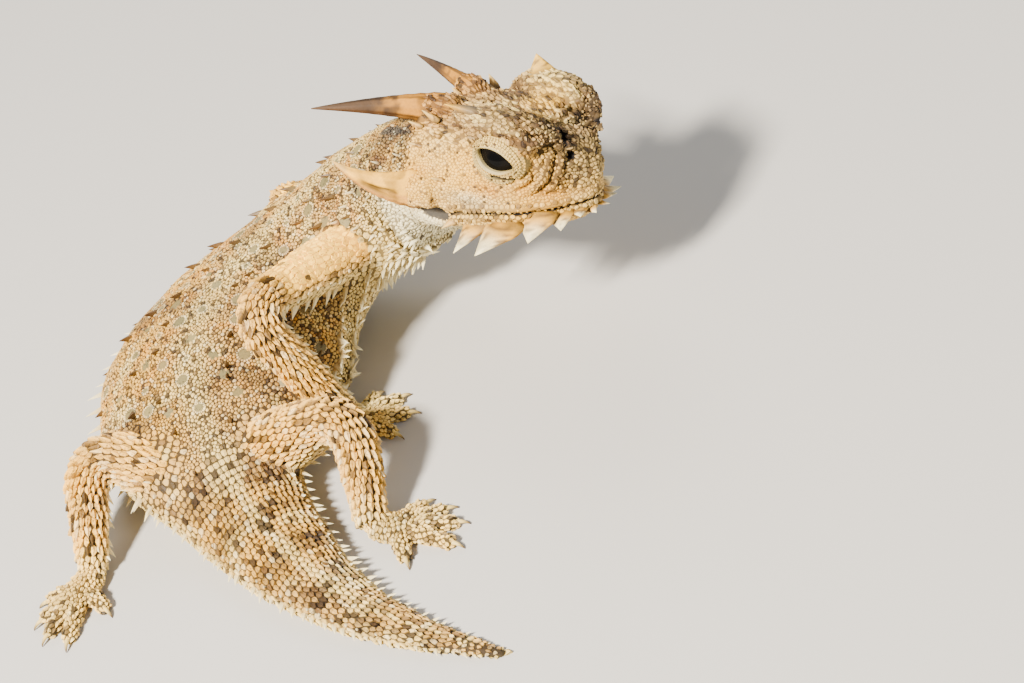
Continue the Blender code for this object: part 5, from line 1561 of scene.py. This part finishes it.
setUp(skin, skinFinish, flesh)
for piece in coatPieces:
    setUp(piece, spineFinish if piece is spines else scaleFinish)
setUp(headTeeth, spineFinish)
for side, label in ((1, "L"), (-1, "R")):
    piece = lids[label]
    lidPlaces = meshArrays(piece.data)[0]
    depth, flat, ring = fromLids(side, lidPlaces)
    crease = lidCrease(flat)
    rim = 1 - ramp(ring, 0.45, 0.62)
    rimTone = paint["cream"] * 0.7 + paint["white"] * 0.3
    tone = paint["cream"] * 0.6 * (1 - rim[:, None]) + rimTone * rim[:, None]
    # painted light and shade: light and dark bands round the lid for its folds
    fold = 0.75 + 0.35 * np.sin(ring * 24)[:, None] * 0.5
    wash = ramp(noise(lidPlaces, 1.6, 51), 0.5, 0.8)[:, None] * (1 - rim[:, None])
    tone = tone * fold * (1 - wash * 0.3) + paint["ochre"] * wash * 0.2
    # painted shade in the crease under the eye
    setTint(piece.data, tinted(tone, "dark", ramp(crease, 0.3, 0.7) * 0.95))
    setUp(piece, lidFinish)
for horn, node in horns:
    setUp(horn, hornFinish, [node])
for eye, node in eyes:
    setUp(eye, eyeFinish, [node])
for piece in claws:
    setUp(piece, clawFinish)

# floor, light and camera
floorTone, floorRough = (0.50, 0.485, 0.46, 1), 0.9
floorShape = bmesh.new()
bmesh.ops.create_grid(floorShape, x_segments=1, y_segments=1, size=1.5)
floor = newObject("floor", floorShape)
floorFinish = bpy.data.materials.new("pale_floor")
floorFinish.use_nodes = True
floorFinish.node_tree.nodes["Principled BSDF"].inputs["Base Color"].default_value = floorTone
floorFinish.node_tree.nodes["Principled BSDF"].inputs["Roughness"].default_value = floorRough
floor.data.materials.append(floorFinish)

studio = {
    "key": ((-0.25, -0.30, 0.42), 0.08, 15.3, (1.0, 0.92, 0.80)),
    "fill": ((0.45, -0.30, 0.25), 0.5, 1.1, (0.9, 0.95, 1.0)),
    "rim": ((0.05, 0.5, 0.4), 0.3, 2.4, (1.0, 0.97, 0.92)), "world": 0.28,
}
aim = Vector((10, 0, 10)) * mm
for name in ("key", "fill", "rim"):
    place, size, watts, colour = studio[name]
    lamp = bpy.data.lights.new(name, "AREA")
    lamp.size, lamp.energy, lamp.color = size, watts, colour
    light = bpy.data.objects.new(name, lamp)
    light.location = place
    light.rotation_euler = (aim - light.location).to_track_quat("-Z", "Y").to_euler()
    bpy.context.scene.collection.objects.link(light)
world = bpy.data.worlds.new("studio")
world.use_nodes = True
world.node_tree.nodes["Background"].inputs["Color"].default_value = (0.95, 0.97, 1.0, 1)
world.node_tree.nodes["Background"].inputs["Strength"].default_value = studio["world"]
bpy.context.scene.world = world

view = {
    "imageRight": (0.927, -0.1757, -0.3308), "imageUp": (0.3746, 0.4348, 0.8185),
    "mark": (0, 0, 7.1), "markPixel": (448, 94.5), "pixelsPerMm": 9.3, "distance": 250.0,
    "frame": (1024, 683), "sensor": 36.0,
}


def aimCamera():  # the mark on the head lands on its pixel, seen from the photo's side
    right, up = (unit(np.array(view[key])) for key in ("imageRight", "imageUp"))
    toward = np.cross(right, up)
    up = np.cross(toward, right)
    place = onHead(view["mark"]) + toward * view["distance"]
    focal = view["pixelsPerMm"] * view["distance"]  # in pixels
    u = (view["markPixel"][0] - view["frame"][0] / 2) / focal
    v = (view["frame"][1] / 2 - view["markPixel"][1]) / focal
    forward = unit(-toward - right * u - up * v)
    side = unit(np.cross(forward, up))
    top = np.cross(side, forward)
    camera = bpy.data.objects.new("camera", bpy.data.cameras.new("camera"))
    camera.data.sensor_width = view["sensor"]
    camera.data.lens = focal / view["frame"][0] * view["sensor"]
    camera.data.clip_start = 0.01
    turn = Matrix(np.stack((side, top, -forward), axis=1).tolist()).to_4x4()
    camera.matrix_world = Matrix.Translation(Vector(place * mm)) @ turn
    bpy.context.scene.collection.objects.link(camera)
    bpy.context.scene.camera = camera


aimCamera()
print("scene ready")
